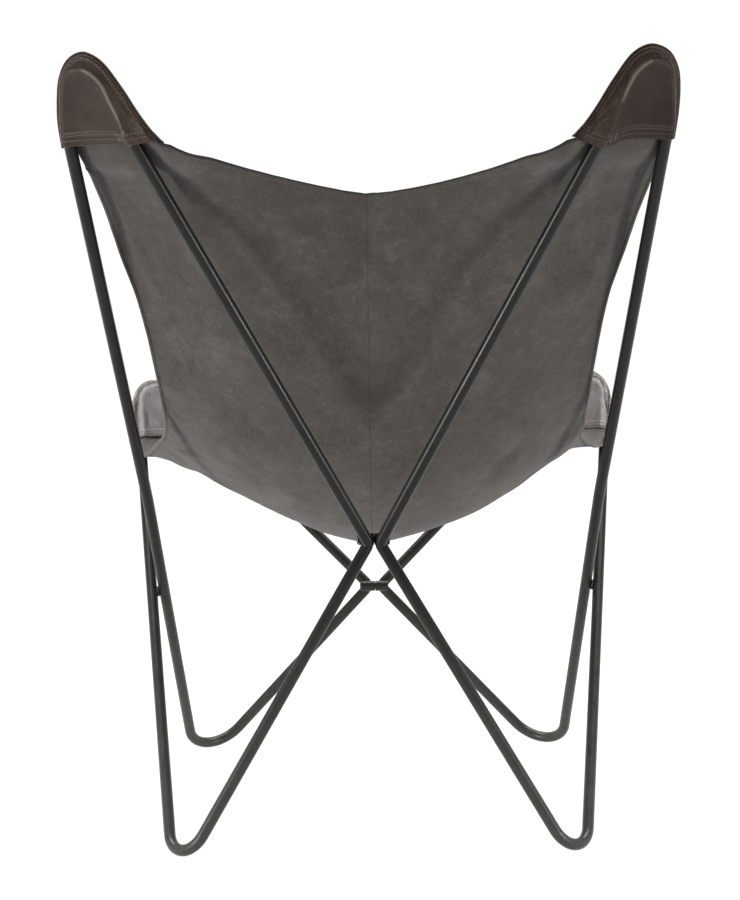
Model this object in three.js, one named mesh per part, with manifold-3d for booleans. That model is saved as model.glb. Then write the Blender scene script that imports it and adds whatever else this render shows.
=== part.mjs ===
// Butterfly sling chair: two bent-rod side frames bolted together at the front and the rear,
// and a canvas sling whose four leather corner pockets slip over the frame's upper loops.
// Millimetres, +Z up, the sitter faces -Y, +X is the sitter's left.
import * as THREE from 'three';
import { mergeVertices } from 'three/addons/utils/BufferGeometryUtils.js';
import Module from 'manifold-3d';

const wasm = await Module();
wasm.setup();

// ---------------------------------------------------------------- driving dimensions
const ROD_D = 13.5;            // round bar of the frame
const ROD_SIDES = 12;
const FLOOR_FLAT = 0.5;        // depth of the worn flat under each floor loop
const CLEAR = 0.3;             // gap between neighbouring pieces

// Corners of the left rod loop, in the order the bar runs, with the bend radius at each.
const CORNERS = [
  { p: [301.9, 429.1, 953.8], r: 27.3, n: 12 },   // ear (top rear)
  { p: [315.7, 342.3, 823.5], r: 200, n: 3 },     // slight set below the ear, outer side
  { p: [272.2, 43.4, 381.7], r: 1200, n: 3 },     // slight bow of the long outer bar
  { p: [244.9, -245.9, -38.2], r: 44.4, n: 10 },  // front floor loop
  { p: [7.4, -241.1, 216.2], r: 8, n: 7 },        // front crossing
  { p: [322.7, -337.5, 524.8], r: 41.5, n: 12 },  // knee (top front)
  { p: [234.7, 258.4, -28.7], r: 33.9, n: 10 },   // rear floor loop
  { p: [6.1, 207.3, 356.0], r: 10, n: 7 },        // rear crossing
  { p: [244.1, 387.6, 816.4], r: 200, n: 3 },     // slight set below the ear, inner side
];

const BARREL_D = 13.5;         // welded cross barrels
const BARREL_L = 17.5;
const BARREL_BORE = 8.6;
const BOLT_D = 8;              // M8 low-head cross bolts
const BOLT_HEAD_D = 12.6;
const BOLT_HEAD_H = 2.2;
const HEX_ACROSS_CORNERS = 4.6;
const SPACER_D = 12;           // welded pad between the two bars at each side crossing

const CANVAS_T = 1.6;
const LEATHER_T = 2.0;
const POCKET_HALF = ROD_D / 2 + 0.6;   // from the loop's plane to the leather's inner face
const EAR_FRONT_HALF = 9.3;            // the front face stands off the slight set of the bars
const POCKET_RIM = 2.0;

// Sling: centre line (y, z) from the top edge to the front edge, and left side edge (x, y, z).
const CENTRE = [[340, 756], [281, 627], [219, 500], [150, 402.5], [70, 340], [-12, 316.5],
  [-97, 322.5], [-178, 350], [-246, 390.5]];
const EDGE = [[319.8, 320.2, 819], [308.6, 289.3, 783], [292.2, 252.6, 736.7], [282.2, 229.5, 695.2],
  [266.1, 195.8, 637.4], [260.4, 173.6, 603.6], [253.6, 139.8, 548.7], [250.7, 91.6, 502.4],
  [254.6, 19.3, 460.9], [269, -96.4, 427], [311.8, -208.2, 426.3]];
const SAG_POWER = 1.6;         // how the cross-section rises from the centre to the edge
const EAR_NECK = [199.2, 400.8, 814.3];    // where the top edge meets the ear pocket
const KNEE_NECK = [190.5, -313.8, 424.8];  // where the front edge meets the knee pocket
const EAR_REACH = 0.17;        // how far down the sling the ears' and knees' pull shows
const KNEE_REACH = 0.15;

// Outlines of the corner pockets in the plane of their rod loop (x outward, y to the tip),
// from the outer end of the hem over the tip to the inner end of the hem.
const EAR_OUTLINE = [[57.3, -71.4], [53.5, -40], [45.2, -10.2], [37, 10.5], [22, 31.5], [7, 42], [-8, 45.4],
  [-26.3, 37.4], [-45.1, 10], [-57.7, -15.2], [-73.3, -42.4], [-86, -51.7]];
const KNEE_OUTLINE = [[77, -42], [67, -16], [54, 8], [41, 32], [22, 48], [0, 53.5], [-23, 49.5], [-42, 34],
  [-56, 8], [-69, -16], [-84, -38]];

// ---------------------------------------------------------------- helpers
const V = (a) => new THREE.Vector3(a[0], a[1], a[2]);
const steel = () => new THREE.MeshStandardMaterial({ color: 0x2b2b2a, roughness: 0.5, metalness: 0.55 });
const zinc = () => new THREE.MeshStandardMaterial({ color: 0x2f2f2f, roughness: 0.4, metalness: 0.9 });
const canvasCloth = () => new THREE.MeshStandardMaterial({ color: 0x59554d, roughness: 0.92, metalness: 0 });
const leather = () => new THREE.MeshStandardMaterial({ color: 0x463b37, roughness: 0.55, metalness: 0 });

function welded(geometry) {
  const g = geometry.index ? geometry.clone() : geometry;
  for (const name of Object.keys(g.attributes)) if (name !== 'position') g.deleteAttribute(name);
  return mergeVertices(g, 1e-4);
}
function solid(geometry) {
  const g = welded(geometry);
  return new wasm.Manifold(new wasm.Mesh({
    numProp: 3,
    vertProperties: new Float32Array(g.attributes.position.array),
    triVerts: new Uint32Array(g.index.array),
  }));
}
function geometryOf(manifold) {
  const m = manifold.getMesh();
  const g = new THREE.BufferGeometry();
  const pos = new Float32Array(m.numVert * 3);
  for (let i = 0; i < m.numVert; i++) for (let k = 0; k < 3; k++) pos[3 * i + k] = m.vertProperties[i * m.numProp + k];
  g.setAttribute('position', new THREE.BufferAttribute(pos, 3));
  g.setIndex(Array.from(m.triVerts));
  g.computeVertexNormals();
  return g;
}
// Mirror image across the chair's middle plane.
function mirrored(geometry) {
  const g = welded(geometry.clone());
  const p = g.attributes.position;
  for (let i = 0; i < p.count; i++) p.setX(i, -p.getX(i));
  const ix = g.index.array;
  for (let i = 0; i < ix.length; i += 3) { const t = ix[i]; ix[i] = ix[i + 1]; ix[i + 1] = t; }
  g.computeVertexNormals();
  return g;
}
function frameAt(origin, ex, ey, ez) {
  return new THREE.Matrix4().makeBasis(ex, ey, ez).setPosition(origin);
}

// ---------------------------------------------------------------- rod loop
function bend(i) {
  const c = CORNERS[i], v = V(c.p);
  const a = V(CORNERS[(i + CORNERS.length - 1) % CORNERS.length].p).sub(v).normalize();
  const b = V(CORNERS[(i + 1) % CORNERS.length].p).sub(v).normalize();
  const half = a.angleTo(b) / 2;
  const bis = a.clone().add(b).normalize();
  const centre = v.clone().addScaledVector(bis, c.r / Math.sin(half));
  const p0 = v.clone().addScaledVector(a, c.r / Math.tan(half));
  const p1 = v.clone().addScaledVector(b, c.r / Math.tan(half));
  const u = p0.clone().sub(centre).normalize(), w = p1.clone().sub(centre).normalize();
  const ang = u.angleTo(w);
  const pts = [], tans = [];
  for (let k = 0; k <= c.n; k++) {
    const s = k / c.n;
    const d = u.clone().multiplyScalar(Math.sin((1 - s) * ang)).addScaledVector(w, Math.sin(s * ang)).divideScalar(Math.sin(ang));
    const t = u.clone().multiplyScalar(-Math.cos((1 - s) * ang)).addScaledVector(w, Math.cos(s * ang)).normalize();
    pts.push(centre.clone().addScaledVector(d, c.r)); tans.push(t);
  }
  return { a, b, bis, half, centre, pts, tans, mid: centre.clone().addScaledVector(bis, -c.r) };
}
const BENDS = CORNERS.map((_, i) => bend(i));
class RodPath extends THREE.Curve {
  constructor() {
    super();
    this.pts = BENDS.flatMap((b) => b.pts);
    this.tans = BENDS.flatMap((b) => b.tans);
    this.count = this.pts.length;
  }
  at(list, u) { return list[Math.round(u * this.count) % this.count].clone(); }
  getPoint(u) { return this.at(this.pts, u); }
  getPointAt(u) { return this.at(this.pts, u); }
  getTangent(u) { return this.at(this.tans, u); }
  getTangentAt(u) { return this.at(this.tans, u); }
}
const rodPath = new RodPath();
const rodLoop = new THREE.TubeGeometry(rodPath, rodPath.count, ROD_D / 2, ROD_SIDES, true);
const underFloor = new THREE.BoxGeometry(1200, 1200, 100).translate(0, 0, FLOOR_FLAT - 50);
const leftFrame = geometryOf(solid(rodLoop).subtract(solid(underFloor)));

// ---------------------------------------------------------------- crossings
function ring(outer, bore, length) {
  const p = [[bore / 2, 0], [outer / 2, 0], [outer / 2, length], [bore / 2, length], [bore / 2, 0]];
  const g = new THREE.LatheGeometry(p.map((q) => new THREE.Vector2(q[0], q[1])), 24);
  return g.rotateZ(-Math.PI / 2);          // axis along +X, from x = 0
}
// Barrel axis beside the bend, on the side towards the inside of the chair (dir is the sign along Y).
function barrelAxis(i, dir) {
  const b = BENDS[i];
  const t = b.tans[Math.floor(b.tans.length / 2)].clone();
  const m = new THREE.Vector3(0, -t.z, t.y).normalize();
  if (m.y * dir < 0) m.negate();
  return b.mid.clone().setX(0).addScaledVector(m, ROD_D / 2 + BARREL_D / 2 + CLEAR);
}
const FRONT_AXIS = barrelAxis(4, 1);
const REAR_AXIS = barrelAxis(7, -1);
const BARREL_IN = 0.2;
const barrelGeo = () => ring(BARREL_D, BARREL_BORE, BARREL_L).translate(BARREL_IN, 0, 0);
const BARREL_OUT = BARREL_IN + BARREL_L;
function boltGeo() {
  const x0 = -BARREL_OUT + 0.5, x1 = BARREL_OUT + CLEAR;
  const prof = [[0, x0], [BOLT_D / 2 - 0.9, x0], [BOLT_D / 2, x0 + 0.9], [BOLT_D / 2, x1], [BOLT_HEAD_D / 2, x1],
    [BOLT_HEAD_D / 2, x1 + 0.7], [BOLT_HEAD_D / 2 - 0.6, x1 + 1.4], [BOLT_HEAD_D / 2 - 1.6, x1 + 1.9],
    [BOLT_HEAD_D / 2 - 2.8, x1 + BOLT_HEAD_H], [0, x1 + BOLT_HEAD_H]];
  const body = new THREE.LatheGeometry(prof.map((q) => new THREE.Vector2(q[0], q[1])), 24).rotateZ(-Math.PI / 2);
  const key = new THREE.CylinderGeometry(HEX_ACROSS_CORNERS / 2, HEX_ACROSS_CORNERS / 2, 6, 6).rotateZ(-Math.PI / 2)
    .translate(x1 + BOLT_HEAD_H - 2.4 + 3, 0, 0);
  return geometryOf(solid(body).subtract(solid(key)));
}

// Welded pad where the two long bars pass each other.
function nearest(p0, p1, q0, q1) {
  const a = p1.clone().sub(p0), b = q1.clone().sub(q0), w = p0.clone().sub(q0);
  const A = a.dot(a), B = a.dot(b), C = b.dot(b), D = a.dot(w), E = b.dot(w), den = A * C - B * B;
  return [p0.clone().addScaledVector(a, (B * E - C * D) / den), q0.clone().addScaledVector(b, (A * E - B * D) / den)];
}
const [PAD_A, PAD_B] = nearest(V(CORNERS[2].p), V(CORNERS[3].p), V(CORNERS[5].p), V(CORNERS[6].p));
const PAD_T = PAD_A.distanceTo(PAD_B) - ROD_D - 2 * CLEAR;
function spacerGeo() {
  const d = PAD_B.clone().sub(PAD_A).normalize();
  const g = new THREE.CylinderGeometry(SPACER_D / 2, SPACER_D / 2, PAD_T, 20);
  g.applyQuaternion(new THREE.Quaternion().setFromUnitVectors(new THREE.Vector3(0, 1, 0), d));
  const m = PAD_A.clone().add(PAD_B).multiplyScalar(0.5);
  return g.translate(m.x, m.y, m.z);
}

// ---------------------------------------------------------------- corner pockets
// Plane of a loop: origin at the bend's centre, x outward, y to the tip, z square to both.
function loopPlane(i) {
  const b = BENDS[i];
  const ey = b.bis.clone().negate();         // the long outer bar is the one that leaves the bend
  const ex = b.b.clone().addScaledVector(ey, -b.b.dot(ey)).normalize();
  const ez = ex.clone().cross(ey);
  return { origin: b.centre, ex, ey, ez };
}
const EAR = loopPlane(0), KNEE = loopPlane(5);
function outlineShape(points, inset, drop) {
  const curve = new THREE.CatmullRomCurve3(points.map((p) => new THREE.Vector3(p[0], p[1], 0)), false, 'centripetal');
  const pts = curve.getPoints(26);
  const out = pts.map((p, i) => {
    const q = pts[Math.min(i + 1, pts.length - 1)].clone().sub(pts[Math.max(i - 1, 0)]).normalize();
    return new THREE.Vector2(p.x - q.y * inset, p.y + q.x * inset);
  });
  if (drop) {                                // run the inset past the hem, so the pocket is open there
    const a = out[0], z = out[out.length - 1];
    out.unshift(new THREE.Vector2(a.x + drop * 0.1, a.y - drop));
    out.push(new THREE.Vector2(z.x - drop * 0.1, z.y - drop));
  }
  return new THREE.Shape(out);
}
// One half of a pocket: a face at the given distance from the loop's plane, with its half of the rim.
function pocketHalf(plane, outline, side, half) {
  const flat = (shape, z0, z1) => new THREE.ExtrudeGeometry(shape, { depth: z1 - z0, bevelEnabled: false, steps: 1 }).translate(0, 0, z0);
  const outer = flat(outlineShape(outline, 0, 0), 0.15, half + LEATHER_T);
  const inner = flat(outlineShape(outline, POCKET_RIM, 14), -2, half);
  let s = solid(outer).subtract(solid(inner));
  let g = geometryOf(s);
  if (side < 0) {                            // the other face of the plane
    const p = g.attributes.position;
    for (let i = 0; i < p.count; i++) p.setZ(i, -p.getZ(i));
    const ix = g.index.array;
    for (let i = 0; i < ix.length; i += 3) { const t = ix[i]; ix[i] = ix[i + 1]; ix[i + 1] = t; }
  }
  g.applyMatrix4(frameAt(plane.origin, plane.ex, plane.ey, plane.ez));
  return g;
}

// ---------------------------------------------------------------- sling
function through(points) {                   // smooth curve through points, by chord length
  const n = points.length, dim = points[0].length, T = [0];
  for (let i = 1; i < n; i++) T.push(T[i - 1] + Math.hypot(...points[i].map((x, k) => x - points[i - 1][k])));
  for (let i = 0; i < n; i++) T[i] /= T[n - 1] || 1;
  const total = T[n - 1]; for (let i = 0; i < n; i++) T[i] /= total;
  const M = points.map((_, i) => points[0].map((__, k) => {
    if (i === 0) return (points[1][k] - points[0][k]) / (T[1] - T[0]);
    if (i === n - 1) return (points[n - 1][k] - points[n - 2][k]) / (T[n - 1] - T[n - 2]);
    const h0 = T[i] - T[i - 1], h1 = T[i + 1] - T[i];
    return ((points[i][k] - points[i - 1][k]) / h0 * h1 + (points[i + 1][k] - points[i][k]) / h1 * h0) / (h0 + h1);
  }));
  return (t) => {
    let i = 0; while (i < n - 2 && t > T[i + 1]) i++;
    const h = T[i + 1] - T[i], x = (t - T[i]) / h, x2 = x * x, x3 = x2 * x;
    return points[0].map((_, k) => (2 * x3 - 3 * x2 + 1) * points[i][k] + (x3 - 2 * x2 + x) * h * M[i][k]
      + (-2 * x3 + 3 * x2) * points[i + 1][k] + (x3 - x2) * h * M[i + 1][k]);
  };
}
const centreLine = through(CENTRE), sideEdge = through(EDGE);
const earNeckS = EAR_NECK[0] / EDGE[0][0], kneeNeckS = KNEE_NECK[0] / EDGE[EDGE.length - 1][0];
function pull(s, s0) {                       // rises from the centre to the neck, then falls to the side edge
  const rise = (s / s0) ** 2.1, fall = (1 - s) / (1 - s0), k = 7;
  if (rise <= 1e-9 || fall <= 1e-9) return 0;
  return 1.1041 / (rise ** -k + fall ** -k) ** (1 / k);
}
function neckPull(neck, c, e, s0) {
  const g = s0 ** SAG_POWER;
  return [neck[1] - (c[0] + (e[1] - c[0]) * g), neck[2] - (c[1] + (e[2] - c[1]) * g)];
}
const EAR_PULL = neckPull(EAR_NECK, CENTRE[0], EDGE[0], earNeckS);
const KNEE_PULL = neckPull(KNEE_NECK, CENTRE[CENTRE.length - 1], EDGE[EDGE.length - 1], kneeNeckS);
// Keeps the cloth that laps a pocket on the sitter's side of the pocket's face.
const step = (a, b, x) => { const u = Math.min(Math.max((x - a) / (b - a), 0), 1); return u * u * (3 - 2 * u); };
function lapped(p, plane, side, depth, y0, y1, x0, x1) {
  const d = p.clone().sub(plane.origin);
  const short = depth - side * d.dot(plane.ez);
  if (short > 0) p.addScaledVector(plane.ez, side * short * step(y0, y1, d.dot(plane.ey)) * step(x0, x1, d.dot(plane.ex)));
  return p;
}
const EAR_LAP = EAR_FRONT_HALF + LEATHER_T + CLEAR + CANVAS_T / 2 + 0.1;
const KNEE_LAP = POCKET_HALF + LEATHER_T + CLEAR + CANVAS_T / 2 + 0.1;
// Point of the sling's left half: s from the centre seam to the side edge, t from the top edge to the front edge.
function sling(s, t) {
  const c = centreLine(t), e = sideEdge(t), g = s ** SAG_POWER;
  const kt = Math.exp(-((t / EAR_REACH) ** 1.4)) * pull(s, earNeckS);
  const kf = Math.exp(-(((1 - t) / KNEE_REACH) ** 1.4)) * pull(s, kneeNeckS);
  const p = new THREE.Vector3(0.25 + s * (e[0] - 0.25),
    c[0] + (e[1] - c[0]) * g + kt * EAR_PULL[0] + kf * KNEE_PULL[0],
    c[1] + (e[2] - c[1]) * g + kt * EAR_PULL[1] + kf * KNEE_PULL[1]);
  lapped(p, EAR, 1, EAR_LAP, -115, -80, -135, -95);
  return lapped(p, KNEE, -1, KNEE_LAP, -85, -50, -130, -92);
}
function slingNormal(s, t) {
  const h = 0.004;
  const ds = sling(Math.min(s + h, 1), t).sub(sling(Math.max(s - h, 0), t));
  const dt = sling(s, Math.min(t + h, 1)).sub(sling(s, Math.max(t - h, 0)));
  return ds.cross(dt).normalize();
}
function canvasPanel(ns, nt) {
  const g = new THREE.BoxGeometry(1, 1, 1, ns, nt, 1);
  const p = g.attributes.position;
  for (let i = 0; i < p.count; i++) {
    const s = p.getX(i) + 0.5, t = 0.5 - p.getY(i), z = p.getZ(i);
    const q = sling(s, t).addScaledVector(slingNormal(s, t), -z * CANVAS_T);
    p.setXYZ(i, q.x, q.y, q.z);
  }
  return geometryOf(solid(g));
}

// ---------------------------------------------------------------- assembly
const chair = new THREE.Group();
const frame = new THREE.Group(), cover = new THREE.Group();
chair.add(frame, cover);
function add(group, name, geometry, material, at) {
  const m = new THREE.Mesh(geometry, material);
  m.name = name;
  if (at) m.position.copy(at);
  group.add(m);
  return m;
}
add(frame, 'left_side_frame', leftFrame, steel());
add(frame, 'right_side_frame', mirrored(leftFrame), steel());
for (const [end, axis] of [['front', FRONT_AXIS], ['rear', REAR_AXIS]]) {
  add(frame, `${end}_left_barrel`, barrelGeo(), steel(), axis);
  add(frame, `${end}_right_barrel`, mirrored(barrelGeo()), steel(), axis);
  add(frame, `${end}_cross_bolt`, boltGeo(), zinc(), axis);
}
add(frame, 'left_side_spacer', spacerGeo(), steel());
add(frame, 'right_side_spacer', mirrored(spacerGeo()), steel());
const panel = canvasPanel(14, 26);
add(cover, 'canvas_left_panel', panel, canvasCloth());
add(cover, 'canvas_right_panel', mirrored(panel), canvasCloth());
for (const [name, plane, outline, side, half] of [
  ['ear_pocket_back', EAR, EAR_OUTLINE, -1, POCKET_HALF],
  ['ear_pocket_front', EAR, EAR_OUTLINE, 1, EAR_FRONT_HALF],
  ['knee_pocket_top', KNEE, KNEE_OUTLINE, -1, POCKET_HALF],
  ['knee_pocket_under', KNEE, KNEE_OUTLINE, 1, POCKET_HALF],
]) {
  const g = pocketHalf(plane, outline, side, half);
  add(cover, `left_${name}`, g, leather());
  add(cover, `right_${name}`, mirrored(g), leather());
}
// Origin on the floor, under the middle of the chair's box.
chair.position.set(0, 0, -FLOOR_FLAT);
chair.updateMatrixWorld(true);
{
  const box = new THREE.Box3().setFromObject(chair, true);
  chair.position.y = -(box.min.y + box.max.y) / 2;
  chair.updateMatrixWorld(true);
}
export default chair;
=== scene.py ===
import math
import bpy
import numpy as np
from mathutils import Matrix, Vector


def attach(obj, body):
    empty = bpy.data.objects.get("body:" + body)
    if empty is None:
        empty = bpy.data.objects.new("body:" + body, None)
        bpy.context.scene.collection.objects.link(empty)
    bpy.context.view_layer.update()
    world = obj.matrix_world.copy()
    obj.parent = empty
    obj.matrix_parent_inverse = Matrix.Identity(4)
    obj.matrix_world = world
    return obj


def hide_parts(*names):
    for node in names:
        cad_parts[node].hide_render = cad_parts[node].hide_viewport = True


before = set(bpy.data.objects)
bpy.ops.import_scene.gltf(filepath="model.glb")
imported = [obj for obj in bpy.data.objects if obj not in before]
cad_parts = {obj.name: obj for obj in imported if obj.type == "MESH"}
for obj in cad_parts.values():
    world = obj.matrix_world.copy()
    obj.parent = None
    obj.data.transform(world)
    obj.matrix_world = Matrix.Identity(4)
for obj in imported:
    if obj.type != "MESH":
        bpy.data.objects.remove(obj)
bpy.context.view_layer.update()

# ------------------------------------------------------------------ the chair's driving numbers, mm
SHIFT = np.array([0.0, -44.96326, -0.5])      # from the drawing's zero to the model's origin
ROD_R = 6.75
CORNERS = [                                    # corner of the bar, bend radius
    ((301.9, 429.1, 953.8), 27.3),
    ((315.7, 342.3, 823.5), 200.0),
    ((272.2, 43.4, 381.7), 1200.0),
    ((244.9, -245.9, -38.2), 44.4),
    ((7.4, -241.1, 216.2), 8.0),
    ((322.7, -337.5, 524.8), 41.5),
    ((234.7, 258.4, -28.7), 33.9),
    ((6.1, 207.3, 356.0), 10.0),
    ((244.1, 387.6, 816.4), 200.0),
]
CENTRE = [(340, 756), (281, 627), (219, 500), (150, 402.5), (70, 340), (-12, 316.5),
          (-97, 322.5), (-178, 350), (-246, 390.5)]
EDGE = [(313.0, 325.0, 808.4), (306.4, 292.0, 783), (292.2, 252.6, 736.7), (282.2, 229.5, 695.2),
        (266.1, 195.8, 637.4), (260.4, 173.6, 603.6), (253.6, 139.8, 548.7), (250.7, 91.6, 502.4),
        (255.3, 19.3, 461.1), (265.5, -60, 440.6), (276.1, -110, 426.9), (287, -155, 413.6),
        (300.8, -191, 407.2), (308, -209.8, 421.8)]
TOP = [(0, 755.0), (25, 757.8), (50, 762.4), (75, 767.8), (100, 774.2), (125, 781.4), (150, 789.6), (175, 799.0), (188, 805.4),
       (198, 808.4), (207, 811.4), (213, 814.4), (219, 819.5)]
EAR_OUTLINE = [(57.3, -71.4), (53.5, -40), (45.2, -10.2), (37, 10.5), (22, 31.5), (7, 42), (-8, 45.4),
               (-26.3, 37.4), (-45.1, 10), (-57.7, -15.2), (-68.6, -36.5), (-74.8, -47.1), (-79, -52.7)]
KNEE_OUTLINE = [(77, -42), (67, -16), (54, 8), (38.5, 33), (19.5, 50.5), (-1, 57), (-24, 52), (-43, 35.5),
                (-56, 8), (-69, -16), (-84, -38)]
EAR_NECK = (199.2, 400.8, 806.6)
KNEE_NECK = (190.5, -313.8, 424.8)
SAG_POWER = 1.6

rng = np.random.default_rng(7)


def unit(v):
    v = np.asarray(v, float)
    return v / np.maximum(np.linalg.norm(v, axis=-1, keepdims=True), 1e-12)


def step(a, b, x):
    u = np.clip((np.asarray(x, float) - a) / (b - a), 0, 1)
    return u * u * (3 - 2 * u)


def metres(p):
    return (np.asarray(p, float) + SHIFT) * 0.001


# ------------------------------------------------------------------ smooth noise, the same at every run
_perm = np.random.default_rng(11).random((64, 64, 64)).astype(np.float32)


def noise3(p, size):
    """Value noise in -1..1 at points p (mm), with cells of the given size."""
    q = np.asarray(p, float) / size + 17.3
    i = np.floor(q).astype(int)
    f = q - i
    f = f * f * f * (f * (f * 6 - 15) + 10)
    out = 0
    for a in (0, 1):
        for b in (0, 1):
            for c in (0, 1):
                w = (f[..., 0] if a else 1 - f[..., 0]) * (f[..., 1] if b else 1 - f[..., 1]) * (f[..., 2] if c else 1 - f[..., 2])
                out = out + w * _perm[(i[..., 0] + a) % 64, (i[..., 1] + b) % 64, (i[..., 2] + c) % 64]
    return out * 2 - 1


# ------------------------------------------------------------------ meshes
def make_object(name, verts, faces, uv=None, smooth=True, attrs=None):
    me = bpy.data.meshes.new(name)
    me.from_pydata(np.asarray(verts, float).tolist(), [], [tuple(f) for f in faces])
    me.validate(verbose=False)
    if uv is not None:
        layer = me.uv_layers.new(name="UVMap")
        idx = np.zeros(len(me.loops), np.int32)
        me.loops.foreach_get("vertex_index", idx)
        layer.data.foreach_set("uv", np.asarray(uv, np.float32)[idx].ravel())
    for key, val in (attrs or {}).items():
        at = me.attributes.new(key, "FLOAT", "POINT")
        at.data.foreach_set("value", np.asarray(val, np.float32))
    if smooth:
        me.polygons.foreach_set("use_smooth", np.ones(len(me.polygons), bool))
    me.update()
    ob = bpy.data.objects.new(name, me)
    bpy.context.scene.collection.objects.link(ob)
    return ob


def grid_faces(n, m, base=0, flip=False, wrap_i=False, wrap_j=False):
    i = np.arange(n if wrap_i else n - 1)
    j = np.arange(m if wrap_j else m - 1)
    I, J = np.meshgrid(i, j, indexing="ij")
    I2, J2 = (I + 1) % n, (J + 1) % m
    q = np.stack([I * m + J, I * m + J2, I2 * m + J2, I2 * m + J], -1).reshape(-1, 4) + base
    return q[:, ::-1] if flip else q


def shell(top, bottom):
    """Closed shell from two grids (n, m, 3) of the same size: faces of the top look along +(rows x columns)."""
    n, m = top.shape[:2]
    verts = np.concatenate([top.reshape(-1, 3), bottom.reshape(-1, 3)])
    off = n * m
    f = [grid_faces(n, m), grid_faces(n, m, off, True)]
    idx = np.arange(n * m).reshape(n, m)
    ring = np.concatenate([idx[0, :-1], idx[:-1, -1], idx[-1, :0:-1], idx[:0:-1, 0]])
    nxt = np.roll(ring, -1)
    f.append(np.stack([ring, ring + off, nxt + off, nxt], -1))
    return verts, np.concatenate(f)


def mirror(verts, faces):
    v = np.array(verts, float)
    v[:, 0] *= -1
    return v, np.asarray(faces)[:, ::-1]


# ------------------------------------------------------------------ rod loop
def bend(i, steps):
    v, r = np.array(CORNERS[i][0], float), CORNERS[i][1]
    a = unit(np.array(CORNERS[i - 1][0]) - v)
    b = unit(np.array(CORNERS[(i + 1) % len(CORNERS)][0]) - v)
    half = math.acos(float(a @ b)) / 2
    bis = unit(a + b)
    c = v + bis * r / math.sin(half)
    u, w = unit(v + a * r / math.tan(half) - c), unit(v + b * r / math.tan(half) - c)
    ang = math.acos(float(np.clip(u @ w, -1, 1)))
    s = np.linspace(0, 1, steps + 1)[:, None]
    pts = c + r * (np.sin((1 - s) * ang) * u + np.sin(s * ang) * w) / math.sin(ang)
    tan = unit(-np.cos((1 - s) * ang) * u + np.cos(s * ang) * w)
    return {"a": a, "b": b, "bis": bis, "half": half, "c": c, "pts": pts, "tan": tan, "mid": c - bis * r, "ang": ang}


BENDS = [bend(i, n) for i, n in enumerate((44, 6, 6, 40, 26, 44, 40, 20, 6))]


def rod_path():
    pts, tan = [], []
    for k, b in enumerate(BENDS):
        pts.append(b["pts"]); tan.append(b["tan"])
        e = BENDS[(k + 1) % len(BENDS)]["pts"][0]
        n = int(np.linalg.norm(e - b["pts"][-1]) // 45)
        if n > 0:
            s = np.linspace(0, 1, n + 2)[1:-1, None]
            pts.append(b["pts"][-1] + (e - b["pts"][-1]) * s)
            tan.append(np.repeat(unit(e - b["pts"][-1])[None], n, 0))
    return np.concatenate(pts), np.concatenate(tan)


ROD_P, ROD_T = rod_path()


def swept(pts, tan, radius, sides, closed=True, start=(0, 0, 1)):
    """Rings round a path by parallel transport; a closed path's twist is spread over its length."""
    n = len(pts)
    u = np.array(start, float)
    u = unit(u - tan[0] * (u @ tan[0]))
    U = [u]
    for k in range(1, n):
        u = unit(U[-1] - tan[k] * (U[-1] @ tan[k]))
        U.append(u)
    U = np.array(U)
    W = np.cross(tan, U)
    twist = 0.0
    if closed:
        u = unit(U[-1] - tan[0] * (U[-1] @ tan[0]))
        twist = math.atan2(float(u @ W[0]), float(u @ U[0]))
    length = np.concatenate([[0], np.cumsum(np.linalg.norm(np.diff(pts, axis=0), axis=1))])
    a = np.linspace(0, 2 * math.pi, sides, endpoint=False)[None] - (twist * length / length[-1])[:, None]
    r = np.broadcast_to(np.asarray(radius, float).reshape(-1, 1, 1) if np.ndim(radius) else np.full((1, 1, 1), radius), (n, 1, 1))
    ring = pts[:, None] + r * (np.cos(a)[..., None] * U[:, None] + np.sin(a)[..., None] * W[:, None])
    return ring, length


def rod_mesh():
    ring, length = swept(ROD_P, ROD_T, ROD_R, 28)
    n, m = ring.shape[:2]
    verts = metres(ring.reshape(-1, 3))
    verts[:, 2] = np.maximum(verts[:, 2], 0.0)
    faces = grid_faces(n, m, wrap_i=True, wrap_j=True)
    uv = np.stack([np.tile(np.arange(m) / m * 2 * math.pi * ROD_R * 0.001, n), np.repeat(length * 0.001, m)], -1)
    return verts, faces, uv


def rod_signed(verts, faces):
    a, b, c = (verts[faces[:, k]] for k in (0, 1, 2))
    return float((a * np.cross(b, c)).sum())


# ------------------------------------------------------------------ turned pieces on an X axis
def turned(profile, segs=48, axis_at=(0, 0, 0)):
    """profile: (radius or 'hex' radius tuple, x). Rings round +X; ends that meet the axis are single points."""
    a = np.linspace(0, 2 * math.pi, segs, endpoint=False)
    verts, rows = [], []
    for r, x in profile:
        if isinstance(r, tuple):                      # hexagon across corners
            k = (a + math.pi / 6) % (math.pi / 3) - math.pi / 6
            rr = r[0] * math.cos(math.pi / 6) / np.cos(k)
        else:
            rr = np.full(segs, float(r))
        if not isinstance(r, tuple) and r < 1e-9:
            rows.append([len(verts)]); verts.append((x, 0, 0))
        else:
            rows.append(list(range(len(verts), len(verts) + segs)))
            verts += list(zip(np.full(segs, x), rr * np.cos(a), rr * np.sin(a)))
    faces = []
    for p, q in zip(rows[:-1], rows[1:]):
        for k in range(segs):
            k2 = (k + 1) % segs
            f = [p[k % len(p)], q[k % len(q)], q[k2 % len(q)], p[k2 % len(p)]]
            g = []
            for t in f:
                if t not in g:
                    g.append(t)
            faces.append(tuple(g))
    return np.array(verts, float) + np.array(axis_at, float), faces


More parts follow.
